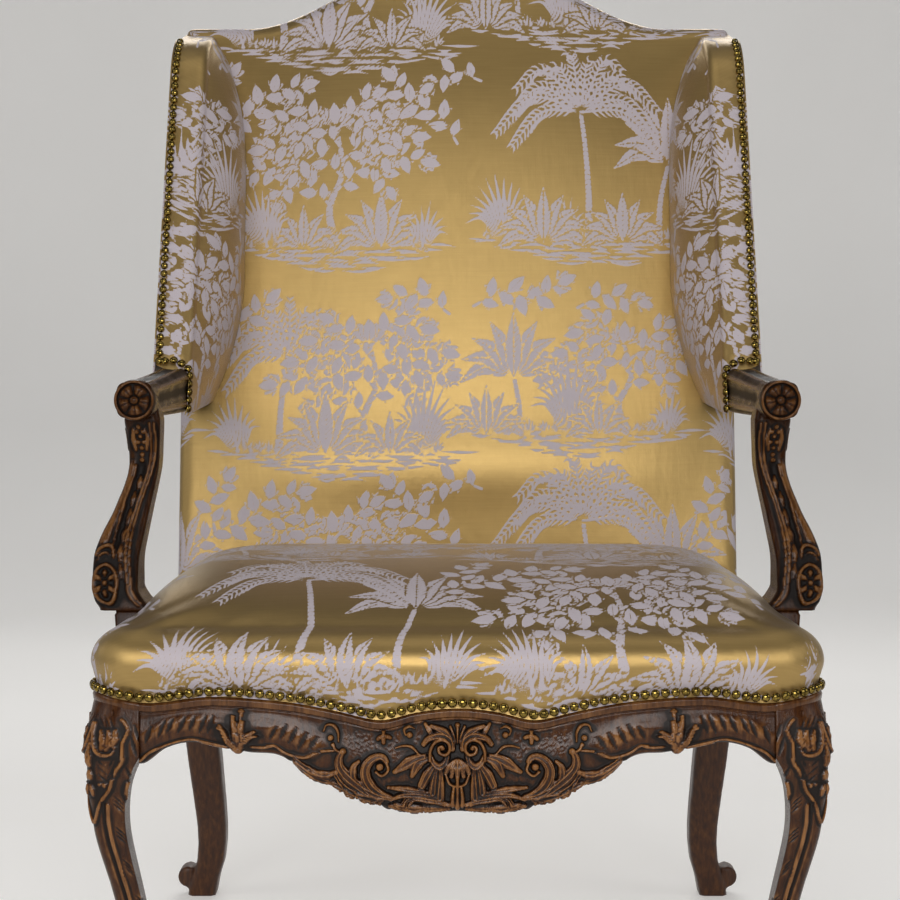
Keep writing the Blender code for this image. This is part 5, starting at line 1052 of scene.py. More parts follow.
def drawDesign():
    tile, rng = ClothTile(design), np.random.default_rng(design["seed"])
    # a palm and a broad-leaved tree
    turf(tile, rng, (166, 46), 310, 8)
    reeds(tile, (62, 44), 1.75, 92, 13, 2.6)
    broadTree(tile, (254, 46), 100, 14, 84, 9)
    palm(tile, (166, 44), 166, -10, 110, 12)
    reeds(tile, (140, 46), 1.7, 62, 9, 2.2)
    broadTree(tile, (108, 44), 0, 0, 68, 9)
    broadTree(tile, (208, 44), 0, 0, 62, 9)
    reeds(tile, (298, 44), 1.3, 70, 11, 2.4)
    # a leafy tree beside it
    turf(tile, rng, (462, 36), 270, 8)
    leafyTree(tile, rng, (468, 36), 158, 118, 6, 25)
    broadTree(tile, (426, 36), 0, 0, 54, 7)
    reeds(tile, (380, 36), 1.8, 84, 13, 2.5)
    broadTree(tile, (524, 36), 0, 0, 70, 9)
    reeds(tile, (576, 36), 1.4, 60, 9, 2.2)
    # half a repeat higher, a spreading tree between reeds and broad plants
    turf(tile, rng, (470, 296), 320, 9)
    palm(tile, (398, 296), 120, 12, 98, 11)
    leafyTree(tile, rng, (512, 296), 140, 112, 6, 25)
    reeds(tile, (572, 296), 1.35, 96, 13, 2.6)
    broadTree(tile, (456, 296), 0, 0, 74, 9)
    broadTree(tile, (536, 296), 0, 0, 52, 7)
    reeds(tile, (346, 296), 1.8, 76, 11, 2.4)
    turf(tile, rng, (146, 322), 280, 8)
    broadTree(tile, (78, 322), 70, -8, 80, 9)
    leafyTree(tile, rng, (210, 322), 112, 96, 5, 24)
    reeds(tile, (140, 320), 1.6, 104, 13, 2.6)
    broadTree(tile, (36, 320), 0, 0, 60, 9)
    broadTree(tile, (176, 320), 0, 0, 50, 7)
    reeds(tile, (262, 320), 1.4, 56, 9, 2.2)
    # sprays that drift between them
    for leaf, *path in design["sprays"]:
        bough(tile, rng, path, leaf, 12)
    return tile

clothTile = drawDesign()
print("cloth design drawn, covers", round(float((clothTile.field > 0).mean()), 2))

# Upholstery: each pad is a coarse net, swollen as cloth between its nailed edges, then made fine

upholstery = dict(pressure=4.0, frames=14, cap=0.0045, cloth=0.0016, levels=2)

def roundCorner(x, y, halfX, halfY, radius):
    overX, overY = (np.abs(x) - (halfX - radius)) / radius, (np.abs(y) - (halfY - radius)) / radius
    both = (overX > 0) & (overY > 0)
    arcX, arcY = overX * np.sqrt(np.clip(1 - overY ** 2 / 2, 0, 1)), overY * np.sqrt(np.clip(1 - overX ** 2 / 2, 0, 1))
    return (np.where(both, np.copysign(halfX - radius + radius * arcX, x), x),
            np.where(both, np.copysign(halfY - radius + radius * arcY, y), y))

def padNet(aValues, bValues, steps, pointAt, flatAt, openSides=()):
    # top net and the wall that hangs from its edge, with the flat place of every point of the cloth
    aGrid, bGrid = np.meshgrid(aValues, bValues)
    top = pointAt(aGrid, bGrid, np.ones_like(aGrid))
    rows, columns = aGrid.shape
    index = np.arange(rows * columns).reshape(rows, columns)
    sides = dict(b0=index[0, :], a1=index[:, -1], b1=index[-1, ::-1], a0=index[::-1, 0])
    order = [k for k in ("b0", "a1", "b1", "a0") if k not in openSides]
    path = []
    for k in order:
        path += [i for i in sides[k].tolist() if not path or i != path[-1]]
    closed = not openSides
    if closed:
        path = path[:-1]
    flat = flatAt(top).reshape(-1, 2)
    points, flats, faces = [top.reshape(-1, 3)], [flat], gridFaces(rows, columns).tolist()
    pa, pb = aGrid.ravel()[path], bGrid.ravel()[path]
    edge = flat[path]
    ends = np.concatenate([edge[-1:], edge, edge[:1]]) if closed else np.concatenate([edge[:1], edge, edge[-1:]])
    tangent = ends[2:] - ends[:-2]
    outward = np.stack([tangent[:, 1], -tangent[:, 0]], axis=1)
    outward /= np.linalg.norm(outward, axis=1)[:, None] + 1e-9
    run, above, previous = np.zeros(len(path)), np.array(path), points[0][path]
    hung = [np.zeros(rows * columns)]
    for c in steps[1:]:
        ring = pointAt(pa, pb, np.full(len(path), float(c)))
        run = run + np.linalg.norm(ring - previous, axis=1)
        start = sum(len(p) for p in points)
        now = np.arange(start, start + len(path))
        points.append(ring)
        flats.append(edge + outward * run[:, None])
        hung.append(np.full(len(path), 1.0 if c == steps[-1] else 0.0))
        for k in range(len(path) if closed else len(path) - 1):
            n = (k + 1) % len(path)
            faces.append([int(above[n]), int(above[k]), int(now[k]), int(now[n])])
        above, previous = now, ring
    return np.concatenate(points), faces, np.concatenate(flats), np.concatenate(hung)

def swollen(points, faces, held):
    # cloth pressed outwards by the stuffing, held at the nails, with a cap on how far it may move
    piece = newPiece("swelling", points, faces, satinBrocade)
    group = piece.vertex_groups.new(name="held")
    for k in np.nonzero(held > 0)[0].tolist():
        group.add([k], float(held[k]), "REPLACE")
    cloth = piece.modifiers.new("cloth", "CLOTH")
    settings = cloth.settings
    settings.quality, settings.mass = 6, 0.3
    settings.tension_stiffness = settings.compression_stiffness = 25.0
    settings.shear_stiffness, settings.bending_stiffness = 12.0, 1.2
    settings.vertex_group_mass, settings.pin_stiffness = "held", 1.0
    settings.use_pressure, settings.uniform_pressure_force = True, upholstery["pressure"]
    settings.effector_weights.gravity = 0.0
    settings.shrink_min = 0.006
    cloth.collision_settings.use_collision = False
    cloth.point_cache.frame_start, cloth.point_cache.frame_end = 1, upholstery["frames"]
    scene = bpy.context.scene
    for k in range(1, upholstery["frames"] + 1):
        scene.frame_set(k)
    shown = piece.evaluated_get(bpy.context.evaluated_depsgraph_get())
    shift = getVectors(shown.data.vertices, len(points), "co") - points
    scene.frame_set(1)
    bpy.data.objects.remove(piece)
    far = np.linalg.norm(shift, axis=1)
    return points + shift * (np.minimum(far, upholstery["cap"]) / np.maximum(far, 1e-9))[:, None]

def padPiece(name, net, spec, keep=None, dents=None):
    # the net made fine by subdivision, with its cloth map and the design read at each point
    points, faces, flat, held = net
    piece = newPiece(name, swollen(points, faces, held), faces, satinBrocade)
    setVectors(piece.data, "flat", np.concatenate([flat, np.zeros((len(flat), 1))], axis=1))
    fine = piece.modifiers.new("fine", "SUBSURF")
    fine.levels = fine.render_levels = upholstery["levels"]
    settled(piece)
    finishCloth(piece, spec["origin"], keep, dents)
    return piece

def finishCloth(piece, origin, keep=None, dents=None):
    mesh = piece.data
    count = len(mesh.vertices)
    co, normal = getVectors(mesh.vertices, count, "co"), getVectors(mesh.vertex_normals, count)
    flat = getVectors(mesh.attributes["flat"].data, count)[:, :2] + origin
    if dents is not None:
        # the cloth is drawn down round each nail, and into shallow folds that fade away from them
        tree = KDTree(len(dents))
        for k, nail in enumerate(dents):
            tree.insert(nail, k)
        tree.balance()
        away = np.array([tree.find(p)[2] for p in co])
        s = flat[:, 0] + flat[:, 1]
        folds = np.sin(s / 0.0034) + 0.7 * np.sin(s / 0.0055 + 1.3) + 0.5 * np.sin(s / 0.0021 + 0.4)
        sunk = 0.0014 * np.exp(-(away / 0.0052) ** 2) + 0.00017 * folds * np.exp(-away / 0.017)
        co = co - normal * sunk[:, None]
        mesh.vertices.foreach_set("co", co.ravel())
    if keep is not None:
        shown = keep(co)
        bm = bmesh.new()
        bm.from_mesh(mesh)
        gone = [f for f in bm.faces if not any(shown[v.index] for v in f.verts)]
        bmesh.ops.delete(bm, geom=gone, context="FACES")
        bm.to_mesh(mesh)
        bm.free()
        flat = getVectors(mesh.attributes["flat"].data, len(mesh.vertices))[:, :2] + origin
    clothMap(mesh, flat)
    setValue(piece, "design", np.clip(clothTile.at(flat[:, 0], flat[:, 1]), -3, 3))
    mesh.shade_smooth()
    mesh.update()

seatPad = dict(edge=0.428, crown=0.050, roll=0.034, bulge=0.007, depth=0.598, fall=0.520, wall=0.45,
               origin=(0.31, 0.095), net=(90, 73), steps=(1, 0.91, 0.82, 0.73, 0.64, 0.55, 0.45, 0.33, 0.21, 0.10, 0.0))

def seatLip(b, x, y):
    lip = np.where(y <= plan["stile"] + clothGap, smoothCurve(frontRail["lip"], np.minimum(np.abs(x), seatHalf)),
            plan["sideLip"])
    return np.where(b >= 1, railTop, railTop - lip) + clothGap

def seatPoint(a, b, c):
    s = seatPad
    angle = np.minimum(1, (1 - c) / (1 - s["wall"])) * np.pi / 2
    below = np.where(b < 1, np.maximum(0, 1 - c / s["wall"]), 0)
    draw = s["roll"] * (1 - np.sin(angle)) + mix(-s["bulge"], plan["lipStep"] - clothGap - upholstery["cloth"], below)
    halfX, halfY, middle = seatHalf - draw, (s["depth"] + s["bulge"]) / 2 - draw, (s["depth"] - s["bulge"]) / 2
    x, y = a * halfX, b * halfY
    rx, ry = roundCorner(x, y, halfX, halfY, np.maximum(0.004, plan["cornerRadius"] - draw))
    x, y = np.where(b < 0, rx, x), np.where(b < 0, ry, y) + middle
    crest = np.clip((y - middle) / (s["fall"] - middle), 0, 1)
    dome = (1 - np.abs(a) ** 10) * np.where(b > 0, 1 - crest ** 3.5, 1 - np.abs(b) ** 3)
    top = s["edge"] + s["crown"] * dome
    wall = np.where(c > s["wall"], s["edge"] - s["roll"] * (1 - np.cos(angle)),
                    mix(seatLip(b, x, y), s["edge"] - s["roll"], np.clip(c / s["wall"], 0, 1)))
    px, py = planPoint(x, y)
    return np.stack([px, py, np.where(c >= 1, top, wall)], axis=-1)

def seatNailLine():
    # 6 mm above the lip, from the left rear post round the front to the right one
    b = np.linspace(0.86, -1, 220)
    a = np.linspace(-1, 1, 420)
    pa = np.concatenate([np.full(220, -1.0), a, np.full(220, 1.0)])
    pb = np.concatenate([b, np.full(420, -1.0), b[::-1]])
    foot = seatPoint(pa, pb, np.zeros_like(pa))
    c = seatPad["wall"] * 0.0058 / (seatPad["edge"] - seatPad["roll"] - foot[:, 2])
    line = seatPoint(pa, pb, c)
    tangent = np.gradient(line[:, :2], axis=0)
    facing = np.stack([tangent[:, 1], -tangent[:, 0], np.zeros(len(line))], axis=1)
    return line, facing / (np.linalg.norm(facing, axis=1)[:, None] + 1e-9)

backPad = dict(belly=0.0065, bellyAt=0.168, bellySpan=0.046, foot=0.0285, edge=0.040, crown=0.030, roll=0.016,
               corner=0.009, wall=0.40, face=0.020, over=0.009, origin=(0.0, 0.10), shoulder=0.731, rise=0.070,
               archStart=0.268, archEnd=0.065, net=(89, 93), steps=(1, 0.85, 0.70, 0.55, 0.40, 0.20, 0.0))

def crestHeight(x):
    t = np.clip((backPad["archStart"] - np.abs(x)) / (backPad["archStart"] - backPad["archEnd"]), 0, 1)
    return backPad["shoulder"] + backPad["rise"] * (1 - np.cos(np.pi * t)) / 2

def backPadDepth(across, up):
    s = backPad
    a = np.minimum(1, np.abs(across) / backHalf)
    top = crestHeight(across) + s["over"]
    b = np.clip(2 * (up - s["foot"]) / (top - s["foot"]) - 1, -1, 1)
    over = np.clip(np.abs(across) - (backHalf - s["roll"]), 0, s["roll"])
    drop = s["roll"] - np.sqrt(s["roll"] ** 2 - over ** 2)
    fall = np.where(b < 0, np.abs(b) ** 3, b ** 4)      # rolls under more at its foot
    belly = s["belly"] * np.exp(-((up - s["bellyAt"]) / s["bellySpan"]) ** 2)
    return s["edge"] - drop + (s["crown"] * (1 - fall) + belly) * (1 - a ** 2.2)

def backPadPoint(a, b, c):
    s = backPad
    c = np.where((b <= -1) & (c < s["wall"]), s["wall"], c)
    angle = np.minimum(1, (1 - c) / (1 - s["wall"])) * np.pi / 2
    draw = s["roll"] * (1 - np.sin(angle))
    halfX = backHalf - draw
    x, share = a * halfX, b
    rx, ry = roundCorner(x, b * halfX, halfX, halfX, np.maximum(0.004, s["corner"] - draw))
    x, share = np.where(b > 0, rx, x), np.where(b > 0, ry / halfX, share)
    up = mix(s["foot"] + draw, crestHeight(x) + s["over"] - draw, (share + 1) / 2)
    wall = np.where(c > s["wall"], s["edge"] - s["roll"] * (1 - np.cos(angle)),
                    mix(-(s["face"] + clothGap), s["edge"] - s["roll"], np.clip(c / s["wall"], 0, 1)))
    return backPoint(x, np.where(c >= 1, backPadDepth(x, up), wall), up)

wing = dict(face=0.043, bulge=0.039, roll=0.011, footFront=0.632, footRear=0.640, topRear=1.114, topFront=1.095,
        frontLow=0.360,
            frontHigh=0.570, corner=0.050, crownLow=0.35, crownHigh=0.60, crownFront=0.35, wall=0.40, armTop=0.683,
            origin=(0.05, 0.33),
            net=(37, 7, 57), steps=(1, 0.85, 0.70, 0.55, 0.40, 0.20, 0.0))

def wingFront(height):
    s = wing
    share = (height - s["footFront"]) / (s["topFront"] - s["footFront"])
    over = np.clip(height - (s["topFront"] - s["corner"]), 0, s["corner"])
    return mix(s["frontLow"], s["frontHigh"], share) + s["corner"] - np.sqrt(s["corner"] ** 2 - over ** 2)

def wingPoint(side, a, b, c):
    s = wing
    angle = np.where(c > s["wall"], np.maximum(0, 1 - (c - s["wall"]) / (1 - s["wall"])), 1) * np.pi / 2
    draw = s["roll"] * (1 - np.sin(angle))
    height = mix(mix(s["footRear"], s["footFront"], a), mix(s["topRear"], s["topFront"], a) - draw, b)
    along = 1 - np.maximum(0, (a - s["crownFront"]) / (1 - s["crownFront"])) ** 2.2
    swell = np.where(b < s["crownLow"], 1 - (1 - b / s["crownLow"]) ** 2,
                     1 - np.maximum(0, (b - s["crownHigh"]) / (1 - s["crownHigh"])) ** 2.4)
    inner = wingOuter - (armLine(np.array(arm["wingLine"])) - 0.017 - 0.0012)
    # below the arm's top the cloth's edge is nailed to the arm's inner face
    low = height < s["armTop"] + 0.0015
    wall = np.where(c > s["wall"], s["face"] - s["roll"] * (1 - np.cos(angle)), (s["face"] - s["roll"]) * c / s["wall"])
    wall = np.where(low, np.maximum(wall, inner), wall)
    thickness = np.where(c >= 1, s["face"] + s["bulge"] * along * swell, wall)
    across = wingOuter - thickness
    meeting = np.minimum(across, backHalf - backPad["roll"] / 2)
    rear = backDepth(height, backPadDepth(meeting, (height - railTop) / rise) + 0.0012)
    # follows the back where it rolls over
    rear = rear + 0.026 * np.clip((height - s["topRear"] + 0.045) / 0.030, 0, 1)
    y = mix(rear, wingFront(height) + draw, a)
    return np.stack([side * across, frontLine + y, height], axis=-1)

def wingNailLine(side):
    # down the wing's front edge, over the arm and down the arm's inner face
    b = np.linspace(0.985, 0.125, 260)
    line = wingPoint(side, np.ones_like(b), b, np.full(260, 0.06))
    facing = np.tile([side * 0.45, -0.9, 0.0], (260, 1))
    inner = armLine(np.array(arm["wingLine"])) - 0.0185
    start = line[-1]
    t = np.linspace(0, 1, 40)[1:]
    x = mix(abs(start[0]), inner + 0.002, t)
    z = mix(start[2], wing["armTop"] + 0.001, t) + 0.006 * np.sin(np.pi * t)
    over = np.stack([side * x, frontLine + wingFront(z) - 0.0005, z], axis=1)
    z = np.linspace(wing["armTop"] - 0.003, wing["footFront"] + 0.006, 40)
    down = np.stack([np.full(40, side * inner), frontLine + wingFront(z) + 0.004, z], axis=1)
    facing = np.concatenate([facing, np.tile([0.0, -0.75, 0.66], (39, 1)),
            np.tile([-side * 0.85, -0.52, 0.0], (40, 1))])
    return np.concatenate([line, over, down]), facing

def backNailLine():
    # round the outside back
    edge = backHalf - 0.007
    up = np.linspace(backPad["foot"] + 0.020, backPad["shoulder"], 200)
    x = np.linspace(-edge, edge, 300)
    top = crestHeight(x) + backPad["over"] - 0.007
    across = np.concatenate([np.full(200, -edge), x, np.full(200, edge), x[::-1]])
    ups = np.concatenate([up, top, up[::-1], np.full(300, backPad["foot"] + 0.0185)])
    line = backPoint(across, np.full(len(across), -(backPad["face"] + 0.0026)), ups)
    return line, np.tile([0.0, rise, -lean], (len(line), 1))

nailLines = [seatNailLine(), wingNailLine(-1), wingNailLine(1), backNailLine()]
nails = dict(pitch=0.0101, radius=0.0050, height=0.70)

def evenPlaces(line, pitch):
    run = np.concatenate([[0], np.cumsum(np.linalg.norm(np.diff(line, axis=0), axis=1))])
    at = np.linspace(0, run[-1], int(run[-1] / pitch) + 1)
    return np.stack([np.interp(at, run, line[:, k]) for k in range(3)], axis=1)

def seatShown(co):
    # hidden where the arm supports and the rear posts stand
    x, y = np.abs(co[:, 0]), co[:, 1] - frontLine
    stump = armSupport["stump"]
    middle = sideLine(armSupport["back"]) - stump["inset"]
    inStump = np.abs(x - middle) < stump["width"] / 2 - 0.002
    inStump &= np.abs(y - armSupport["back"]) < stump["depth"] / 2 - 0.002
    inPost = (x > 0.3145) & (y > 0.576) & (y < 0.630)
    return ~(inStump | inPost)

seatNet = padNet(*[np.linspace(-1, 1, n) for n in seatPad["net"]], seatPad["steps"], seatPoint,
                 lambda p: np.stack([p[..., 0], p[..., 1] - frontLine], axis=-1))
seatPiece = padPiece("seatUpholstery", seatNet, seatPad, seatShown, evenPlaces(nailLines[0][0], nails["pitch"]))
place(seatPiece, "gold_brocade", "seat_cover", "seat_stuffing")
print("seat upholstered", len(seatPiece.data.polygons))

backNet = padNet(*[np.linspace(-1, 1, n) for n in backPad["net"]], backPad["steps"], backPadPoint,
                 lambda p: np.stack([p[..., 0], (p[..., 2] - railTop) / rise], axis=-1))
backPiece = padPiece("backUpholstery", backNet, backPad)
place(backPiece, "gold_brocade", "inside_back_cover", "back_stuffing")
print("back upholstered", len(backPiece.data.polygons))

for (sideLabel, sideSign), (line, _) in zip(bothSides, nailLines[1:3]):
    across, low, high = wing["net"]
    # closer where the arm meets it
    heights = np.concatenate([np.linspace(0, 0.1, low), np.linspace(0.115, 1, high)])
    points, faces, flat, held = padNet(np.linspace(0, 1, across), heights, wing["steps"],
                                       lambda a, b, c: wingPoint(sideSign, a, b, c),
                                       lambda p: np.stack([p[..., 1] - frontLine, p[..., 2] - railTop], axis=-1),
                                       ("a0", "b0"))
    faces = [f[::sideSign] for f in faces]
    wingPiece = padPiece("wingUpholstery" + sideLabel, (points, faces, flat, held), wing,
                         dents=evenPlaces(line, nails["pitch"]))
    label = sideLabel.lower()
    place(wingPiece, "gold_brocade", "wing_inside_cover_" + label, "wing_stuffing_" + label)
print("wings upholstered")

# Outside covers and base cloths: flat stretched sheets

sheets = dict(step=0.012, columns=60, back=0.0028, backColumns=262, wing=0.0023, wingRows=180,
              base=0.001, origin=(0.3, 0.1))

def sheetPiece(name, outlineLow, outlineHigh, across, pointAt, material, slot, node, thickness,
        step=sheets["step"], shown=None):
    # a closed thin sheet between two edges, each a function of the place across
    rows = 2 + int(np.max(outlineHigh - outlineLow) / step)
    share = np.linspace(0, 1, rows)[:, None]
    along = mix(outlineLow[None, :], outlineHigh[None, :], share)
    x = np.broadcast_to(across[None, :], along.shape)
    sides = [pointAt(x, along, off) for off in (thickness / 2, -thickness / 2)]
    columns = len(across)
    faces = gridFaces(rows, columns)
    count = rows * columns
    index = np.arange(count).reshape(rows, columns)
    rim = np.concatenate([index[0, :], index[1:, -1], index[-1, -2::-1], index[-2:0:-1, 0]])
    nextRim = np.roll(rim, -1)
    flat = np.stack([x, along, np.zeros_like(x)], axis=-1).reshape(-1, 3)
    if shown is None:
        points, flats = [s.reshape(-1, 3) for s in sides], [flat, flat]
        wall = np.stack([nextRim, rim, rim + count, nextRim + count], axis=1)
        faces = np.concatenate([faces, faces[:, ::-1] + count, wall]).tolist()
    else:
        # only the face that shows is fine, the hidden one spreads from its middle
        hidden = sides[1 - shown].reshape(-1, 3)[rim]
        points = [sides[shown].reshape(-1, 3), hidden, hidden.mean(0)[None]]
        flats = [flat, flat[rim], flat[rim].mean(0)[None]]
        inner = np.arange(len(rim)) + count
        wall = np.stack([nextRim, rim, inner, np.roll(inner, -1)], axis=1)
        spokes = np.stack([np.full(len(rim), count + len(rim)), inner, np.roll(inner, -1)], axis=1)
        faces = faces.tolist() + wall.tolist() + spokes.tolist()
    piece = newPiece(name, np.concatenate(points), faces, material)
    facesOutward(piece.data)
    setVectors(piece.data, "flat", np.concatenate(flats))
    finishCloth(piece, sheets["origin"])
    place(piece, slot, node)

x = np.linspace(-backHalf, backHalf, sheets["backColumns"])
sheetPiece("outsideBack", np.full(len(x), 0.052), crestHeight(x) + backPad["over"], x,
           lambda x, w, n: backPoint(x, -(backPad["face"] + 2 * clothGap + 0.0008) + n, w), satinBrocade,
           "gold_brocade", "outside_back_cover", upholstery["cloth"], sheets["back"], 1)
half = postOuter - 0.014
x = np.linspace(-half, half, sheets["columns"])
sheetPiece("backBaseCloth", np.full(len(x), 0.059), crestHeight(x) - 0.014, x,
           lambda x, w, n: backPoint(x, backPad["face"] + clothGap + 0.002 + clothGap + 0.0005 + n, w), hessianCloth,
           "hessian", "back_base_cloth", sheets["base"])
half = seatHalf - 0.014
x = np.linspace(-half, half, sheets["columns"])
front = 0.014 + np.clip(np.abs(x) - (half - 0.036), 0, None)
sheetPiece("seatBaseCloth", front, np.full(len(x), 0.590), x,
           lambda x, y, n: np.stack([*planPoint(x, y), np.full_like(x, 0.3881 + n)], axis=-1), hessianCloth, "hessian",
           "seat_base_cloth", sheets["base"])
for sideLabel, sideSign in bothSides:
    low, high, label = wing["topFront"], wing["topRear"], sideLabel.lower()
    heights = np.linspace(wing["armTop"] - 0.004, low, sheets["wingRows"])
    heights = np.concatenate([heights, np.linspace(low, high, 10)[1:]])
    plane = sideSign * (wingOuter + clothGap + 0.0008)
    rear = backDepth(heights, -0.014)
    over = np.clip((heights - low) / (high - low), 0, 0.98)     # the top slopes up to the back
    sheetPiece("outsideWing" + sideLabel, mix(wingFront(np.minimum(heights, low)), rear, over), rear, heights,
               lambda z, y, n: np.stack([np.full_like(z, plane) + n, frontLine + y, z], axis=-1), satinBrocade,
               "gold_brocade", "wing_outside_cover_" + label, upholstery["cloth"],
               sheets["wing"], 0 if sideSign > 0 else 1)
print("sheets stretched")

# Webbing: flat jute straps, over and under each other

webbing = dict(width=0.058, thick=0.0011, lift=0.0011, step=0.010,
               seatAcross=(0.085, 0.235, 0.325, 0.415, 0.505), seatAlong=(-0.24, -0.12, 0.0, 0.12, 0.24),
               backAcross=(0.135, 0.215, 0.365, 0.445, 0.525, 0.605), backUp=(-0.20, -0.10, 0.0, 0.10, 0.20))

def strapNet(name, acrossAt, alongAt, reach, ends, pointAt, node):
    points, faces, flats, count = [], [], [], 0
    half = webbing["width"] / 2
    for hand, places, others in ((0, acrossAt, alongAt), (1, alongAt, acrossAt)):
        start, end = ((-reach, reach), ends)[hand]
        for row, middle in enumerate(places):
            t = np.linspace(start, end, int((end - start) / webbing["step"]))
            weave = np.zeros_like(t)
            for k, other in enumerate(others):
                weave += ((-1) ** (k + row + hand)) * np.exp(-((t - other) / (half * 1.05)) ** 4)
            lift = weave * webbing["lift"] / 2
            ring = [(-half, 0.5), (half, 0.5), (half, -0.5), (-half, -0.5)]
            grid = []
            for off, level in ring:
                x, y = (t, np.full_like(t, middle + off)) if hand == 0 else (np.full_like(t, middle + off), t)
                grid.append(pointAt(x, y, lift + level * webbing["thick"]))
            points.append(np.stack(grid, axis=1).reshape(-1, 3))
            flats.append(np.stack([np.stack([t, np.full_like(t, off), t * 0], axis=1) for off, _ in ring],
                    axis=1).reshape(-1, 3))
            own = gridFaces(len(t), 4, True)
            caps = np.array([[3, 2, 1, 0], [len(t) * 4 - 4 + k for k in range(4)]])
            faces.append(np.concatenate([own, caps]) + count)
            count += len(t) * 4
    piece = newPiece(name, np.concatenate(points), np.concatenate(faces), juteWebbing, False)
    facesOutward(piece.data)
    clothMap(piece.data, np.concatenate(flats)[:, :2])
    place(piece, "jute_webbing", node)

strapNet("seatWebbing", webbing["seatAcross"], webbing["seatAlong"], seatHalf - 0.018, (0.014, 0.590),
         lambda x, y, n: np.stack([*planPoint(x, y), 0.3863 + n], axis=-1), "seat_webbing")
strapNet("backWebbing", webbing["backAcross"], webbing["backUp"], 0.330, (0.066, 0.690),
         lambda x, w, n: backPoint(x, backPad["face"] + clothGap + 0.001 + n, w), "back_webbing")
print("webbing woven")

# Nails and pegs, set along lines by geometry nodes

def nailTree():
    tree = bpy.data.node_groups.new("nailsAlong", "GeometryNodeTree")
    for name, kind, way in (("Line", "Geometry", "INPUT"), ("Pitch", "Float", "INPUT"), ("Radius", "Float", "INPUT"),
                            ("Height", "Float", "INPUT"), ("Finish", "Material", "INPUT"),
                            ("Nails", "Geometry", "OUTPUT")):
        tree.interface.new_socket(name, in_out=way, socket_type="NodeSocket" + kind)
    given = put(tree, "NodeGroupInput", {"out": "all"})
    curve = put(tree, "GeometryNodeMeshToCurve", i0=given["Line"])
    even = put(tree, "GeometryNodeResampleCurve", {"mode": "LENGTH"}, Curve=curve, Length=given["Pitch"])
    facing = put(tree, "GeometryNodeInputNamedAttribute", {"data_type": "FLOAT_VECTOR"}, Name="facing")
    turn = put(tree, "FunctionNodeAlignRotationToVector", {"axis": "Z"}, Vector=facing)
    head = put(tree, "GeometryNodeMeshUVSphere", Segments=10, Rings=6, Radius=given["Radius"])
    hand = put(tree, "FunctionNodeRandomValue", {"data_type": "FLOAT", "out": 1}, i2=0.93, i3=1.04, Seed=5)
    height = put(tree, "Math", {"operation": "MULTIPLY"}, i0=hand, i1=given["Height"])
    size = put(tree, "CombineXYZ", X=hand, Y=hand, Z=height)
    placed = put(tree, "GeometryNodeInstanceOnPoints", Points=even, Instance=head, Rotation=turn, Scale=size)
    whole = put(tree, "GeometryNodeRealizeInstances", Geometry=placed)
    soft = put(tree, "GeometryNodeSetShadeSmooth", Geometry=whole)
    done = put(tree, "GeometryNodeSetMaterial", Geometry=soft, Material=given["Finish"])
    put(tree, "NodeGroupOutput", {"out": "all"}, Nails=done)
    return tree

def setNails(name, runs, pitch, radius, height, finish, slot, proud=0.0007):
    mesh = bpy.data.meshes.new(name)
    line, facing = [np.concatenate(part) for part in zip(*runs)]
    starts = set(np.cumsum([len(r[0]) for r in runs]).tolist())
    out = facing / np.linalg.norm(facing, axis=1)[:, None] * proud
    mesh.from_pydata((line + out).tolist(), [(k, k + 1) for k in range(len(line) - 1) if k + 1 not in starts], [])
    setVectors(mesh, "facing", facing)
    piece = linked(name, mesh)
    nodes = piece.modifiers.new("nails", "NODES")
    nodes.node_group = nailsAlong
    values = dict(Pitch=pitch, Radius=radius, Height=height, Finish=finish)
    for item in nailsAlong.interface.items_tree:
        if item.in_out == "INPUT" and item.name in values:
            nodes[item.identifier] = values[item.name]
    settled(piece)
    place(piece, slot)

nailsAlong = nailTree()
for label, run in zip(("Seat", "WingLeft", "WingRight", "Back"), nailLines):
    setNails("nails" + label, [run], nails["pitch"], nails["radius"], nails["height"], antiqueBrass, "nail_brass")

pegs = dict(radius=0.0036, gap=0.019, height=0.30, low=0.346, rear=0.606, back=0.3225, front=0.022)

def pegRuns():
    # two oak pegs across each tenon of the side and back rails, found on the outer faces of the posts and legs
    runs, view = [], bpy.context.evaluated_depsgraph_get()
    for side in (-1, 1):
        for y, x, way in ((frontLine + pegs["rear"], side * 0.6, (-side, 0, 0)), (0.6, side * pegs["back"], (0, -1, 0)),
                          (frontLine + pegs["front"], side * 0.6, (-side, 0, 0))):
            hits = [bpy.context.scene.ray_cast(view, (x, y, pegs["low"] + k * pegs["gap"]), way) for k in (0, 1)]
            if all(h[0] for h in hits):
                runs.append((np.array([h[1] for h in hits]), np.tile(-np.array(way, float), (2, 1))))
    return runs

found = pegRuns()
setNails("oakPegs", found, pegs["gap"], pegs["radius"], pegs["height"], plainWalnut, "walnut", 0.0)
print("nails and pegs set", len(found))

# Stage

stage = dict(floor=("#d9d7d4", "#e2e0dd"), glow="#e6e4e1", glowLevel=0.38, room="#f2f3f5", roomLevel=0.12, reach=7,
             lamps=dict(frontBox=((-0.15, -2.85, 1.24), (0, 0, 1.1), (2.4, 1.1), 57),     # where, aim, size, watts
                        topFill=((0.0, -0.6, 3.1), (0, 0, 0.5), (2.4, 1.6), 10),
                        rearBox=((0.0, 2.7, 2.4), (0, 0.2, 0.75), (2.4, 1.0), 34),
                        leftFill=((-2.5, -0.8, 1.5), (0, 0, 0.7), (1.2, 1.4), 10),
                        rightFill=((2.5, -0.8, 1.5), (0, 0, 0.7), (1.2, 1.4), 10)))

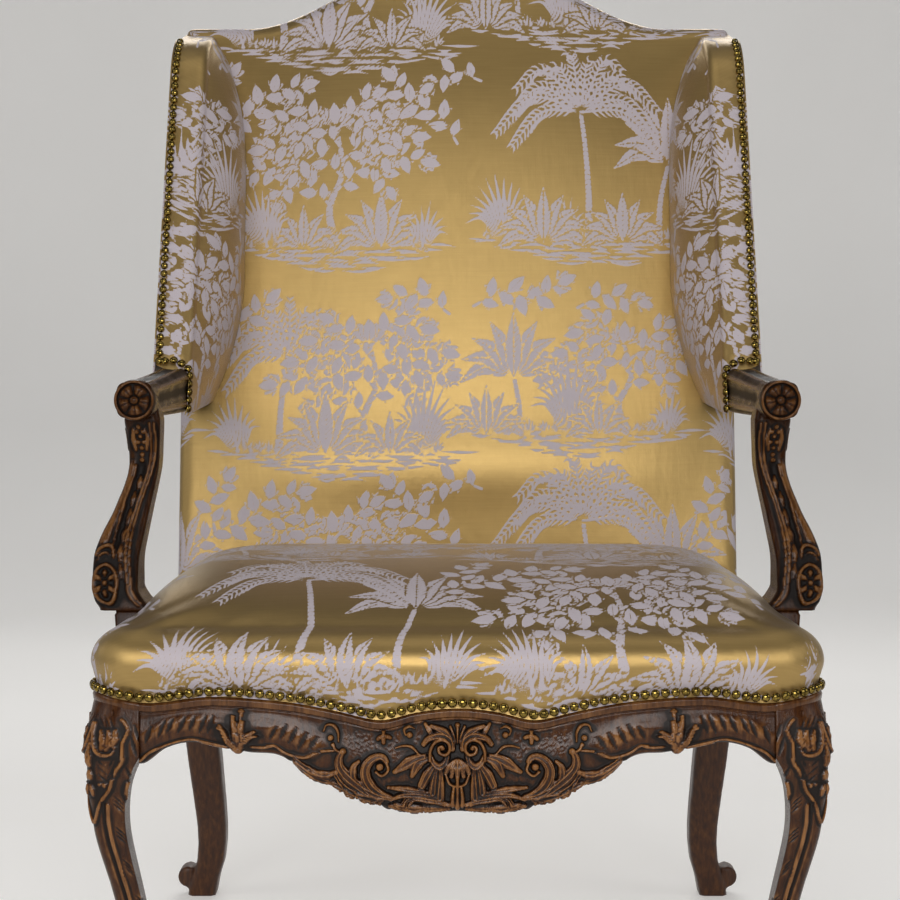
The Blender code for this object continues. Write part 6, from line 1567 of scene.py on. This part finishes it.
def makeStage():
    # Matt painted floor: pale and plain, with a faint cloudiness
    material, tree, shader = newFinish("studioFloor")
    where = put(tree, "TexCoord", {"out": "Object"})
    cloud = put(tree, "TexNoise", Vector=where, Scale=1.5, Detail=3.0)
    tone = put(tree, "ValToRGB", {"stops": list(zip((0.3, 0.7), stage["floor"]))}, Fac=cloud)
    path = put(tree, "LightPath", {"out": "all"})
    seen = put(tree, "Math", {"operation": "MAXIMUM"}, i0=path["Is Camera Ray"], i1=path["Is Glossy Ray"])
    seen = put(tree, "Math", {"operation": "MAXIMUM"}, i0=seen, i1=path["Is Transmission Ray"])
    glow = put(tree, "Math", {"operation": "MULTIPLY"}, i0=seen, i1=stage["glowLevel"])
    join(tree, shader, Base_Color=tone, Roughness=0.75, Emission_Color=linear(stage["glow"]), Emission_Strength=glow)
    sweep = np.linspace(0.1, np.pi / 2, 10)
    run = np.concatenate([np.linspace(-6, 3.0, 12), 3.0 + 1.2 * np.sin(sweep), np.full(6, 4.2)])
    lift = np.concatenate([np.zeros(12), 1.2 - 1.2 * np.cos(sweep), np.linspace(1.6, 5, 6)])
    grid = np.stack([np.stack([np.full_like(run, x), run, lift], axis=1)
                     for x in np.linspace(-stage["reach"], stage["reach"], 12)])
    newPiece("studioFloor", grid, gridFaces(12, len(run))[:, ::-1], material)
    world = bpy.data.worlds.new("studioRoom")
    bpy.context.scene.world = world
    world.use_nodes = True
    join(world.node_tree, world.node_tree.nodes["Background"], Color=linear(stage["room"]), Strength=stage["roomLevel"])
    for name, (where, aim, size, power) in stage["lamps"].items():
        lamp = bpy.data.lights.new(name, "AREA")
        lamp.shape, lamp.size, lamp.size_y, lamp.energy = "RECTANGLE", size[0], size[1], power
        holder = linked(name, lamp)
        holder.location = where
        holder.rotation_euler = (Vector(aim) - Vector(where)).to_track_quat("-Z", "Y").to_euler()

def makeCamera():
    camera = bpy.data.cameras.new("photoView")
    camera.lens, camera.sensor_width, camera.shift_x = 83.5, 36.0, -7.5 / 900
    holder = linked("photoView", camera)
    holder.location = (0.0, frontLine - 2.03, 0.705)
    holder.rotation_euler = (math.pi / 2 - math.atan(100 / 2087), 0.0, 0.0)     # aimed 100 pixels below the horizon
    bpy.context.scene.camera = holder

makeStage()
makeCamera()
bpy.context.scene.view_settings.view_transform = "Standard"
print("stage set")
